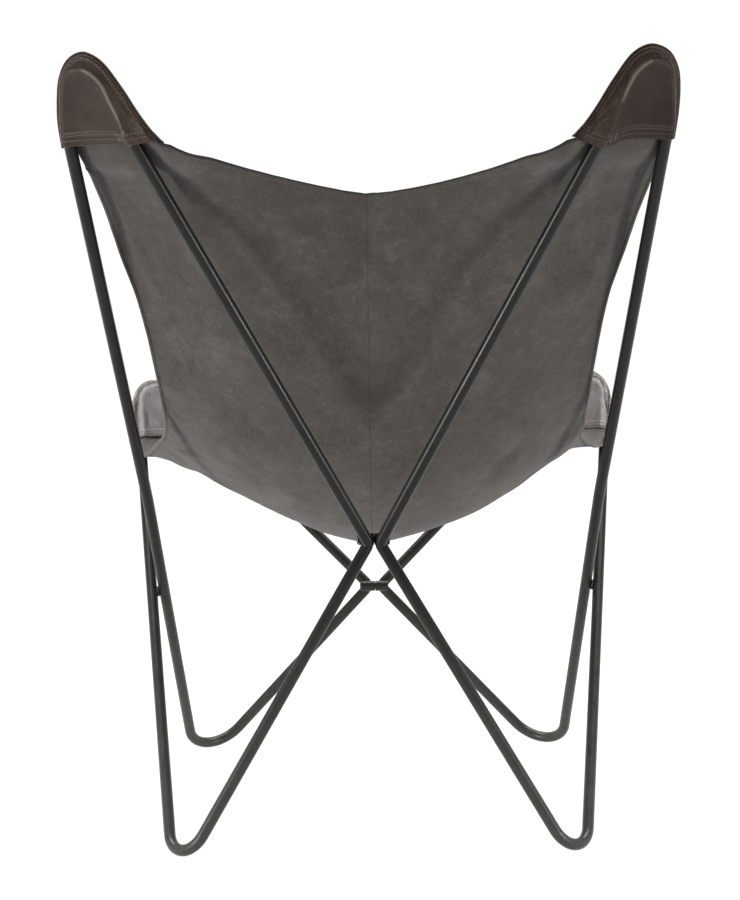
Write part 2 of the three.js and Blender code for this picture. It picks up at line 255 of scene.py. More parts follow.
def soft_profile(points, radius):
    """Rounds the corners of an open (radius, x) profile a little, so that edges catch light."""
    out = []
    for k, p in enumerate(points):
        if k in (0, len(points) - 1) or isinstance(p[0], tuple):
            out.append(p); continue
        q0, q1 = points[k - 1], points[k + 1]
        if isinstance(q0[0], tuple) or isinstance(q1[0], tuple):
            out.append(p); continue
        P, A, B = np.array(p, float), np.array(q0, float), np.array(q1, float)
        la, lb = np.linalg.norm(A - P), np.linalg.norm(B - P)
        if min(la, lb) < 1e-9:
            out.append(p); continue
        ra, rb = min(radius, 0.45 * la), min(radius, 0.45 * lb)
        s0, s1 = P + (A - P) / la * ra, P + (B - P) / lb * rb
        for t in (0, 0.25, 0.5, 0.75, 1):
            out.append(tuple((1 - t) ** 2 * s0 + 2 * t * (1 - t) * P + t * t * s1))
    return out


def barrel_axis(i, sign):
    b = BENDS[i]
    t = b["tan"][len(b["tan"]) // 2]
    m = unit(np.array([0, -t[2], t[1]]))
    if m[1] * sign < 0:
        m = -m
    p = b["mid"].copy()
    p[0] = 0
    return p + m * (ROD_R + 6.75 + 0.3), m


_, FRONT_DIR = barrel_axis(4, 1)
_, REAR_DIR = barrel_axis(7, -1)
FRONT_AXIS = np.array([0.0, -272.956, 217.772]) - SHIFT      # the bolts' turning axes
REAR_AXIS = np.array([0.0, 149.437, 357.666]) - SHIFT


# ------------------------------------------------------------------ sling
def through(points):
    P = np.array(points, float)
    T = np.concatenate([[0], np.cumsum(np.linalg.norm(np.diff(P, axis=0), axis=1))])
    T /= T[-1]
    M = np.zeros_like(P)
    M[0], M[-1] = (P[1] - P[0]) / (T[1] - T[0]), (P[-1] - P[-2]) / (T[-1] - T[-2])
    for i in range(1, len(P) - 1):
        h0, h1 = T[i] - T[i - 1], T[i + 1] - T[i]
        M[i] = ((P[i] - P[i - 1]) / h0 * h1 + (P[i + 1] - P[i]) / h1 * h0) / (h0 + h1)

    def at(t):
        t = np.asarray(t, float)
        i = np.clip(np.searchsorted(T, t, side="right") - 1, 0, len(P) - 2)
        h = (T[i + 1] - T[i])
        x = ((t - T[i]) / h)[..., None]
        h = h[..., None]
        return ((2 * x ** 3 - 3 * x ** 2 + 1) * P[i] + (x ** 3 - 2 * x ** 2 + x) * h * M[i]
                + (-2 * x ** 3 + 3 * x ** 2) * P[i + 1] + (x ** 3 - x ** 2) * h * M[i + 1])
    return at


centre_line, side_edge = through(CENTRE), through(EDGE)


def pull(s, s0):
    rise = np.maximum((s / s0) ** 2.1, 1e-6)
    fall = np.maximum((1 - s) / (1 - s0), 1e-6)
    return 1.1041 / (rise ** -7.0 + fall ** -7.0) ** (1 / 7.0)


def loop_plane(i):
    b = BENDS[i]
    ey = -b["bis"]
    ex = unit(b["b"] - ey * (b["b"] @ ey))
    return {"o": b["c"], "ex": ex, "ey": ey, "n": -np.cross(ex, ey)}


EAR, KNEE = loop_plane(0), loop_plane(5)       # n: to the rear for the ear, to the sitter for the knee


def to_plane(pl, p):
    d = np.asarray(p, float) - pl["o"]
    return np.stack([d @ pl["ex"], d @ pl["ey"], d @ pl["n"]], -1)


def from_plane(pl, q):
    q = np.asarray(q, float)
    return pl["o"] + q[..., :1] * pl["ex"] + q[..., 1:2] * pl["ey"] + q[..., 2:3] * pl["n"]


# ------------------------------------------------------------------ leather drawn over a rod loop
def outline_curve(points, n):
    """Smooth curve through the outline's points, evenly spaced."""
    P = np.array(points, float)
    P = np.concatenate([[2 * P[0] - P[1]], P, [2 * P[-1] - P[-2]]])
    out = []
    for k in range(1, len(P) - 2):
        p0, p1, p2, p3 = P[k - 1:k + 3]
        t0 = 0.0
        t1 = t0 + np.linalg.norm(p1 - p0) ** 0.5
        t2 = t1 + np.linalg.norm(p2 - p1) ** 0.5
        t3 = t2 + np.linalg.norm(p3 - p2) ** 0.5
        for t in np.linspace(t1, t2, 40, endpoint=False):
            a1 = (t1 - t) / (t1 - t0) * p0 + (t - t0) / (t1 - t0) * p1
            a2 = (t2 - t) / (t2 - t1) * p1 + (t - t1) / (t2 - t1) * p2
            a3 = (t3 - t) / (t3 - t2) * p2 + (t - t2) / (t3 - t2) * p3
            b1 = (t2 - t) / (t2 - t0) * a1 + (t - t0) / (t2 - t0) * a2
            b2 = (t3 - t) / (t3 - t1) * a2 + (t - t1) / (t3 - t1) * a3
            out.append((t2 - t) / (t2 - t1) * b1 + (t - t1) / (t2 - t1) * b2)
    out.append(P[-2])
    return resample(np.array(out), n)


def resample(c, n):
    L = np.concatenate([[0], np.cumsum(np.linalg.norm(np.diff(c, axis=0), axis=1))])
    x = np.linspace(0, L[-1], n)
    return np.stack([np.interp(x, L, c[:, k]) for k in range(c.shape[1])], -1)


def inset(c, d):
    t = unit(np.gradient(c, axis=0))
    return c + np.stack([-t[:, 1], t[:, 0]], -1) * d


def inside(poly, x, y):
    res = np.zeros(np.shape(x), bool)
    px, py = poly[:, 0], poly[:, 1]
    for k in range(len(poly)):
        x0, y0, x1, y1 = px[k - 1], py[k - 1], px[k], py[k]
        hit = ((y0 > y) != (y1 > y)) & (x < (x1 - x0) * (y - y0) / ((y1 - y0) or 1e-9) + x0)
        res ^= hit
    return res


class Skin:
    """Height of leather stretched over the loop's bars on one side of the loop's plane (side +1 is along n)."""

    def __init__(self, pl, outline, side, lean, flange=4.5, gap=0.5, dip=0.012, smooth=5, edge_h=0.9):
        self.hem = (outline[0], outline[-1])
        d = 1.5
        x0, x1 = outline[:, 0].min() - 6, outline[:, 0].max() + 6
        y0, y1 = outline[:, 1].min() - 42, outline[:, 1].max() + 6
        self.x, self.y = np.arange(x0, x1, d), np.arange(y0, y1, d)
        X, Y = np.meshgrid(self.x, self.y, indexing="ij")
        edge = inset(outline, flange)
        poly = np.concatenate([[edge[0] + (6, -80)], edge, [edge[-1] + (-26, -80)]])
        free = inside(poly, X, Y)
        rod = to_plane(pl, ROD_P)
        keep = (np.abs(rod[:, 2]) < 25) & (rod[:, 1] > y0 - 60) & (np.abs(rod[:, 0]) < 160)
        fine = []
        for k in range(len(rod)):
            k2 = (k + 1) % len(rod)
            if keep[k] or keep[k2]:
                m = max(2, int(np.linalg.norm(rod[k2] - rod[k]) / 1.0))
                fine.append(rod[k] + (rod[k2] - rod[k]) * np.linspace(0, 1, m, endpoint=False)[:, None])
        fine = np.concatenate(fine)
        fine = fine[(fine[:, 1] > y0 - 15)]
        R = ROD_R + gap
        obst = np.full(X.shape, -50.0)
        for part in np.array_split(fine, max(1, len(fine) // 40)):
            dd = (X[..., None] - part[:, 0]) ** 2 + (Y[..., None] - part[:, 1]) ** 2
            h = np.where(dd < R * R, side * part[:, 2] + np.sqrt(np.maximum(R * R - dd, 0)), -50.0)
            obst = np.maximum(obst, h.max(-1))
        h = np.where(free, np.maximum(obst, 4.0), edge_h + side * lean(X))
        I, J = np.indices(X.shape)
        red = ((I + J) % 2 == 0) & free
        black = ((I + J) % 2 == 1) & free
        for it in range(260):
            for mask in (red, black):
                p = np.pad(h, 1, mode="edge")
                avg = (p[:-2, 1:-1] + p[2:, 1:-1] + p[1:-1, :-2] + p[1:-1, 2:]) / 4 - dip
                new = h + 1.82 * (avg - h)
                h = np.where(mask, np.maximum(new, obst), h)
        for it in range(smooth):                          # the hide is too stiff for a sharp crease
            p = np.pad(h, 1, mode="edge")
            g = (p[:-2, 1:-1] + p[2:, 1:-1] + p[1:-1, :-2] + p[1:-1, 2:] + 4 * h) / 8
            h = np.where(free, np.maximum(g, obst - 0.15), h)
        self.h, self.d, self.rod = h, d, fine

    def at(self, x, y):
        i = np.clip((np.asarray(x) - self.x[0]) / self.d, 0, len(self.x) - 1.001)
        j = np.clip((np.asarray(y) - self.y[0]) / self.d, 0, len(self.y) - 1.001)
        i0, j0 = i.astype(int), j.astype(int)
        u, v = i - i0, j - j0
        h = self.h
        return ((1 - u) * (1 - v) * h[i0, j0] + u * (1 - v) * h[i0 + 1, j0]
                + (1 - u) * v * h[i0, j0 + 1] + u * v * h[i0 + 1, j0 + 1])

    def hem_y(self, x):
        a, b = self.hem
        return a[1] + (b[1] - a[1]) * (np.asarray(x) - a[0]) / (b[0] - a[0])


EAR_EDGE = outline_curve(EAR_OUTLINE, 241)
EAR_EDGE_R = outline_curve([(57.3, -71.4), (54.5, -40), (48.6, -9.8), (40.6, 12), (25, 32), (8.2, 41.5), (-8, 44.4),
                            (-26.3, 36.8), (-45.1, 9.5), (-57.7, -15.2), (-68.6, -36.5), (-74.8, -47.1), (-79, -52.7)], 241)
KNEE_EDGE = outline_curve(KNEE_OUTLINE, 241)
KNEE_EDGE_R = outline_curve([(77, -42), (66, -16), (51, 9), (36.5, 33), (18, 51), (-4, 61), (-26, 59), (-44, 42), (-57, 10), (-69, -16), (-84, -38)], 241)


def ear_lean(x):
    """The leather's inner end leaves the loop's plane to meet the canvas edge."""
    return -14.0 * step(-56, -112, x)


def knee_lean(x):
    return 12.5 * step(-52, -96, x)


EAR_REAR = Skin(EAR, EAR_EDGE, 1, ear_lean, flange=7.6, dip=0.0022, edge_h=0.75)
EAR_FRONT = Skin(EAR, EAR_EDGE, -1, ear_lean, flange=4.5, gap=1.6, dip=0.002, edge_h=-0.5)
KNEE_TOP = Skin(KNEE, KNEE_EDGE, 1, knee_lean, flange=4.5, gap=1.6, dip=0.003, edge_h=-0.5)
KNEE_UNDER = Skin(KNEE, KNEE_EDGE, -1, knee_lean, flange=7.6, dip=0.0022, edge_h=0.75)

EAR_REAR_R = Skin(EAR, EAR_EDGE_R, 1, ear_lean, flange=7.6, dip=0.0022, edge_h=0.75)
EAR_FRONT_R = Skin(EAR, EAR_EDGE_R, -1, ear_lean, flange=4.5, gap=1.6, dip=0.002, edge_h=-0.5)
KNEE_TOP_R = Skin(KNEE, KNEE_EDGE_R, 1, knee_lean, flange=4.5, gap=1.6, dip=0.003, edge_h=-0.5)
KNEE_UNDER_R = Skin(KNEE, KNEE_EDGE_R, -1, knee_lean, flange=7.6, dip=0.0022, edge_h=0.75)


def pocket_room(edge, hem_y):
    """How far the cloth can run on above the hem, under the leather, for points x of the loop's plane."""
    order = np.argsort(edge[:, 0])
    xs, ys = edge[order, 0], edge[order, 1]

    def room(x):
        y = np.interp(x, xs, ys) - hem_y(x)
        return np.clip(y - 5.0, 0, 13.0) * step(xs[0] - 2, xs[0] + 14, x) * (1 - step(xs[-1] - 1, xs[-1] + 9, x))
    return room


EAR_ROOM = pocket_room(EAR_EDGE, EAR_FRONT.hem_y)
KNEE_ROOM = pocket_room(KNEE_EDGE, KNEE_TOP.hem_y)


def tuck(p, t, pl, skin, room, sign, taper_weight, reach):
    """Near a corner the cloth lies on the bars and runs on under the leather facing."""
    q = to_plane(pl, p)
    hem = skin.hem_y(q[..., 0])
    w = step(hem - reach, hem - 4, q[..., 1]) * step(-116, -86, q[..., 0]) * taper_weight
    q[..., 2] = q[..., 2] * (1 - w) + w * sign * (skin.at(q[..., 0], q[..., 1]) + 0.2)
    q[..., 1] = q[..., 1] + room(q[..., 0]) * step(hem - 34, hem + 2, q[..., 1]) * taper_weight
    on = step(hem - 10, hem + 2, q[..., 1]) * taper_weight * step(-104, -88, q[..., 0])
    q[..., 2] = q[..., 2] * (1 - on) + on * sign * (skin.at(q[..., 0], q[..., 1]) + 0.2)
    return np.where((w + on > 0)[..., None], from_plane(pl, q), p)


def sling_raw(s, t):
    c, e = centre_line(t), side_edge(t)
    g = s ** SAG_POWER
    ear_s, knee_s = EAR_NECK[0] / EDGE[0][0], KNEE_NECK[0] / EDGE[-1][0]
    ge, gk = ear_s ** SAG_POWER, knee_s ** SAG_POWER
    pe = (EAR_NECK[1] - (CENTRE[0][0] + (EDGE[0][1] - CENTRE[0][0]) * ge), EAR_NECK[2] - (CENTRE[0][1] + (EDGE[0][2] - CENTRE[0][1]) * ge))
    pk = (KNEE_NECK[1] - (CENTRE[-1][0] + (EDGE[-1][1] - CENTRE[-1][0]) * gk), KNEE_NECK[2] - (CENTRE[-1][1] + (EDGE[-1][2] - CENTRE[-1][1]) * gk))
    kt = np.exp(-((t / 0.17) ** 1.4)) * pull(s, ear_s)
    kf = np.exp(-(((1 - t) / 0.15) ** 1.4)) * pull(s, knee_s)
    return np.stack([s * e[..., 0],
                     c[..., 0] + (e[..., 1] - c[..., 0]) * g + kt * pe[0] + kf * pk[0],
                     c[..., 1] + (e[..., 2] - c[..., 1]) * g + kt * pe[1] + kf * pk[1]], -1)


TOP_S = np.linspace(0, 1, 201)
TOP_RAW = sling_raw(TOP_S, np.zeros_like(TOP_S))
TOP_FIX = (np.interp(TOP_RAW[:, 0], [x for x, z in TOP], [z for x, z in TOP]) - TOP_RAW[:, 2]) * (1 - step(212, 236, TOP_RAW[:, 0]))


def sling_base(s, t):
    """Points of the sling's left half in the drawing's frame, before the folds."""
    p = sling_raw(s, t)
    p[..., 2] += np.interp(s, TOP_S, TOP_FIX) * np.exp(-((t / 0.11) ** 1.5))
    p[..., 2] -= 4.5 * np.exp(-((s - 0.70) / 0.24) ** 2 - ((t - 0.66) / 0.17) ** 2)
    p[..., 2] -= 10.5 * np.exp(-((s - 0.87) / 0.11) ** 2 - ((t - 0.86) / 0.11) ** 2)
    p = tuck(p, t, EAR, EAR_FRONT, EAR_ROOM, -1, 1 - step(0.14, 0.24, t), 52)
    return tuck(p, t, KNEE, KNEE_TOP, KNEE_ROOM, 1, step(0.80, 0.88, t), 30)


def clear_of_rods(p, n, gap):
    """Moves points of the sling to the sitter's side of any bar that they would touch."""
    out = p.copy()
    near = ROD_P
    seg = np.roll(near, -1, 0) - near
    ll = np.maximum((seg * seg).sum(1), 1e-9)
    flat = out.reshape(-1, 3)
    nn = n.reshape(-1, 3)
    for a in range(0, len(flat), 4000):
        q = flat[a:a + 4000]
        best = np.full(len(q), 1e9)
        away = np.zeros_like(q)
        for k in range(0, len(near), 60):
            d = q[:, None] - near[None, k:k + 60]
            u = np.clip((d * seg[None, k:k + 60]).sum(-1) / ll[None, k:k + 60], 0, 1)
            r = d - u[..., None] * seg[None, k:k + 60]
            m = np.linalg.norm(r, axis=-1)
            j = m.argmin(1)
            mm = m[np.arange(len(q)), j]
            upd = mm < best
            best[upd] = mm[upd]
            away[upd] = r[np.arange(len(q)), j][upd]
        short = gap - best
        hit = short > 0
        flat[a:a + 4000][hit] -= nn[a:a + 4000][hit] * short[hit, None]
    return out


S_FINE = np.unique(np.concatenate([
    np.array([0, 0.4, 0.8, 1.3, 1.9, 3, 4.5, 6, 7.5, 8.8, 9.6, 10.4, 11.4, 13]) / 290,
    np.linspace(0.055, 0.945, 84),
    1 - np.array([13, 10, 8, 7, 6.4, 6, 5.6, 5.2, 4.6, 3.8, 3, 2.3, 1.6, 1.0, 0.45, 0]) / 290]))
T_FINE = np.unique(np.concatenate([
    np.array([0, 0.45, 1.0, 1.6, 2.3, 3, 3.8, 4.6, 5.2, 5.6, 6, 6.4, 7, 8, 10, 13]) / 860,
    np.linspace(0.021, 0.979, 176),
    1 - np.array([13, 10, 8, 7, 6.4, 6, 5.6, 5.2, 4.6, 3.8, 3, 2.3, 1.6, 1.0, 0.45, 0]) / 860]))


def ridge(s, t, s0, t0, s1, t1, width, height, taper_weight=0.25):
    """A soft fold along a line in the cloth (s, t scaled to mm), tapering at both ends."""
    x, y = s * 290, t * 860
    a, b = np.array([s0 * 290, t0 * 860]), np.array([s1 * 290, t1 * 860])
    d = b - a
    L = np.linalg.norm(d)
    d /= L
    u = ((x - a[0]) * d[0] + (y - a[1]) * d[1]) / L
    v = -(x - a[0]) * d[1] + (y - a[1]) * d[0]
    env = step(-0.02, taper_weight, u) * (1 - step(1 - taper_weight, 1.02, u))
    return height * env * np.exp(-(v / width) ** 2)


def folds(s, t, side):
    """Soft folds of the hung cloth; positive is to the rear. side +1 is the sitter's left."""
    f = np.zeros_like(s)
    # pull lines that fan out from the knee corners
    f += ridge(s, t, 0.98, 0.80, 0.62, 0.66, 11, 1.6) - ridge(s, t, 0.99, 0.755, 0.60, 0.60, 12, 1.0)
    f += ridge(s, t, 0.95, 0.86, 0.55, 0.74, 10, 2.2) - ridge(s, t, 0.93, 0.90, 0.45, 0.80, 12, 1.8)
    # from the ears down the back
    f += ridge(s, t, 0.80, 0.02, 0.55, 0.22, 12, 2.4) - ridge(s, t, 0.70, 0.01, 0.36, 0.20, 14, 2.6)
    f += ridge(s, t, 0.94, 0.06, 0.86, 0.30, 9, 1.6)
    if side > 0:
        f += ridge(s, t, 0.97, 0.70, 0.80, 0.60, 7, 1.8) + ridge(s, t, 0.30, 0.55, 0.75, 0.48, 18, 1.6)
        f += ridge(s, t, 0.985, 0.50, 0.90, 0.56, 4, 1.5) + ridge(s, t, 0.985, 0.54, 0.88, 0.60, 4, -1.2) + ridge(s, t, 0.98, 0.62, 0.90, 0.67, 4, 1.4)
    else:
        f += ridge(s, t, 0.99, 0.50, 0.80, 0.73, 7, 3.4) - ridge(s, t, 0.99, 0.55, 0.86, 0.74, 6, 2.8)
        f += ridge(s, t, 0.985, 0.60, 0.88, 0.76, 5, 2.4) - ridge(s, t, 0.35, 0.60, 0.80, 0.46, 16, 1.4)
    return f


EAR_SIDE = {1: [(0, -1.3), (0.012, -2.7), (0.021, -3.5), (0.032, -6.5), (0.043, -7.8), (0.054, -9.0), (0.065, -5.8), (0.076, -3.8), (0.098, -2.6), (0.12, -1.7), (0.17, 0)],
            -1: [(0, 3), (0.012, 4.5), (0.021, 5.2), (0.032, 3), (0.043, 1.7), (0.054, 0.9), (0.065, 4.1), (0.076, 5.9), (0.098, 5.2), (0.12, 4.4), (0.14, 3.3), (0.16, 2), (0.20, 0)]}


def smooth_line(t, knots):
    """Values through (t, value) knots, eased over the corners."""
    x = np.linspace(-0.05, 1.05, 551)
    y = np.interp(x, [k[0] for k in knots], [k[1] for k in knots])
    for k in range(2):
        y = np.convolve(np.pad(y, 1, mode="edge"), np.ones(3) / 3, "valid")
    return np.interp(t, x, y)


def sling_panel(side):
    S, T = np.meshgrid(S_FINE, T_FINE, indexing="ij")     # rows run from the centre to the side edge
    P = sling_base(S, T)
    # it hangs a little to one side, and the seam to the other
    P[..., 0] += side * (1.8 * (1 - S) ** 2 - 3.6 * S ** 2 * step(0.02, 0.22, T) * (1 - step(0.66, 0.90, T)))
    P[..., 0] += side * S ** 2 * (5.5 * step(0.60, 0.74, T) * (1 - step(0.92, 1.0, T)))
    P[..., 0] += S ** 2 * smooth_line(T, EAR_SIDE[side])
    if side < 0:
        P[..., 2] -= 5.0 * np.exp(-((S - 0.52) / 0.24) ** 2 - ((T - 0.66) / 0.15) ** 2) - 7.5 * np.exp(-((S - 0.91) / 0.12) ** 2 - ((T - 0.87) / 0.11) ** 2)
    P[..., 2] += side * 2.3 * np.sin(math.pi * np.clip(S / 0.72, 0, 1)) * np.exp(-(T / 0.2) ** 2)
    P[..., 0] += (-1.3 if side < 0 else 0.25) * (1 - step(0, 12, P[..., 0]))
    for k in range(3):                                     # even out the places where the shapes blend
        Q = P.copy()
        Q[1:-1, 1:-1] = (P[:-2, 1:-1] + P[2:, 1:-1] + P[1:-1, :-2] + P[1:-1, 2:]) / 4
        w = (step(0.03, 0.10, T) * step(0.03, 0.10, 1 - T) * step(0.03, 0.10, S) * step(0.03, 0.10, 1 - S))[..., None]
        P = P * (1 - 0.6 * w) + Q * 0.6 * w
    ds = np.gradient(P, axis=0) / np.gradient(S_FINE)[:, None, None]
    dt = np.gradient(P, axis=1) / np.gradient(T_FINE)[None, :, None]
    N = unit(np.cross(ds, dt))                             # to the rear and down
    lu = np.concatenate([np.zeros((1, len(T_FINE))), np.cumsum(np.linalg.norm(np.diff(P, axis=0), axis=2), axis=0)])
    lv = np.concatenate([np.zeros((len(S_FINE), 1)), np.cumsum(np.linalg.norm(np.diff(P, axis=1), axis=2), axis=1)], axis=1)
    d_side, d_top, d_front = lu[-1:] - lu, lv, lv[:, -1:] - lv
    d_edge = np.minimum(np.minimum(d_side, d_top), d_front)
    M = P * np.array([side, 1, 1])                         # where it really is, for the noise
    calm = step(0, 40, d_edge)
    corner_e = step(-110, -72, to_plane(EAR, P)[..., 1]) * step(-150, -100, to_plane(EAR, P)[..., 0]) * (1 - step(0.14, 0.24, T))
    corner_k = step(-80, -42, to_plane(KNEE, P)[..., 1]) * step(-145, -98, to_plane(KNEE, P)[..., 0]) * step(0.78, 0.88, T)
    free = (1 - corner_e) * (1 - corner_k)
    disp = folds(S, T, side) * free
    disp += (noise3(M, 120) * 1.8 + noise3(M + 300, 52) * 0.9) * free * (0.25 + 0.75 * calm)
    disp += (noise3(M + 700, 24) * 0.28 + noise3(M + 900, 11) * 0.10) * free
    # the hem draws in a little between its stitches
    disp += 0.35 * np.sin(lv / 38.0 + 1.7 * side) * np.exp(-(d_side / 16) ** 2) * free
    mid = P + N * disp[..., None]
    mid = clear_of_rods(mid, N, ROD_R + 2.2)
    thick = 1.1 + 0.9 * (1 - step(5.2, 6.4, d_edge))       # folded hem all round
    seam = np.zeros_like(S)
    if side < 0:                                           # felled seam lies on this half
        seam = 0.9 * (1 - step(8.8, 10.4, lu)) * step(0.0, 0.9, lu)
    groove = 0.45 * np.exp(-(lu / 0.9) ** 2)
    round_off = 0.42 + 0.58 * step(0.0, 1.1, np.minimum(d_edge, 5))
    back = 0.5 * thick * round_off + 0.5 * (thick - 1.1) * step(0, 1.1, d_edge) - groove
    front = 0.5 * np.minimum(thick, 1.3) * round_off + seam
    outer, inner = mid + N * back[..., None], mid - N * front[..., None]
    info = {"mid": mid, "N": N, "outer": outer, "inner": inner, "lu": lu, "lv": lv, "S": S, "T": T, "d_edge": d_edge}
    verts, faces = shell(outer, inner)
    side_front = np.minimum(d_side, d_front)
    # Positive values are wear: pale rubbed side and front edges. Negative values are painted shade: a dark rim along
    # the top edge, a dark line where the hem's thickness steps, and a dark line in the centre seam's groove.
    worn = np.clip(1 - side_front / 3.0, 0, 1) * 0.8 + np.exp(-((side_front - 2.8) / 1.2) ** 2) * 0.30 - 0.55 * np.exp(-((d_edge - 5.6) / 0.8) ** 2)
    worn -= 0.95 * np.clip(1.5 - 1.5 * d_top / (1.6 + 3.2 * step(0.30, 0.62, S)), 0, 1) + 0.8 * np.exp(-(lu / 0.9) ** 2)
    worn = np.tile(np.clip(worn, -1, 1).ravel(), 2)
    uv = np.tile(np.stack([side * lu, -lv], -1).reshape(-1, 2) * 0.001, (2, 1))
    if side < 0:
        verts, faces = mirror(verts, faces)
    return verts, faces, uv, worn, info


# ------------------------------------------------------------------ stitches
def capsule(rings=5, sides=6):
    v, f = [], []
    xs = np.linspace(-1, 1, rings)
    for x in xs:
        r = math.sqrt(max(0.0, 1 - abs(x) ** 3.2)) * 0.96 + 0.04
        for k in range(sides):
            a = 2 * math.pi * k / sides
            v.append((x, r * math.cos(a), r * math.sin(a)))
    f = grid_faces(rings, sides, wrap_j=True).tolist()
    f.append(list(range(sides)))
    f.append(list(range((rings - 1) * sides, rings * sides))[::-1])
    return np.array(v), f


CAP_V, CAP_F = capsule()


class Thread:
    def __init__(self):
        self.v, self.f, self.n = [], [], 0

    def place(self, at, along, up, length, radius, sink=0.25):
        side = unit(np.cross(up, along))
        up = unit(np.cross(along, side))
        n = len(at)
        V = (at[:, None] + along[:, None] * (CAP_V[None, :, :1] * length[:, None, None] / 2)
             + side[:, None] * (CAP_V[None, :, 1:2] * radius) + up[:, None] * (CAP_V[None, :, 2:3] * radius * 0.8 + radius * sink
             - (CAP_V[None, :, :1] ** 2) * radius * 0.75))
        self.v.append(V.reshape(-1, 3))
        for k in range(n):
            o = self.n + k * len(CAP_V)
            self.f += [tuple(i + o for i in q) for q in CAP_F]
        self.n += n * len(CAP_V)

    def row(self, line, normal, pitch=4.4, length=3.4, radius=0.46, start=0.0, sink=0.25, skip=None):
        """A row of stitches along a line of points, lying on a surface with these normals."""
        L = np.concatenate([[0], np.cumsum(np.linalg.norm(np.diff(line, axis=0), axis=1))])
        x = np.arange(start + pitch / 2, L[-1] - pitch / 2, pitch)
        if len(x) == 0:
            return
        at = np.stack([np.interp(x, L, line[:, k]) for k in range(3)], -1)
        a = np.stack([np.interp(x - length / 2, L, line[:, k]) for k in range(3)], -1)
        b = np.stack([np.interp(x + length / 2, L, line[:, k]) for k in range(3)], -1)
        up = unit(np.stack([np.interp(x, L, normal[:, k]) for k in range(3)], -1))
        jig = rng.normal(0, 0.03, len(x))
        along = unit(unit(b - a) + np.cross(up, unit(b - a)) * (jig + 0.05)[:, None])
        self.place(at, along, up, np.full(len(x), length) * (1 + rng.normal(0, 0.03, len(x))), radius, sink)

    def mesh(self, name, flip):
        v = np.concatenate(self.v)
        f = self.f
        if flip:
            v = v * np.array([-1, 1, 1])
            f = [q[::-1] for q in f]
        return make_object(name, metres(v), f)


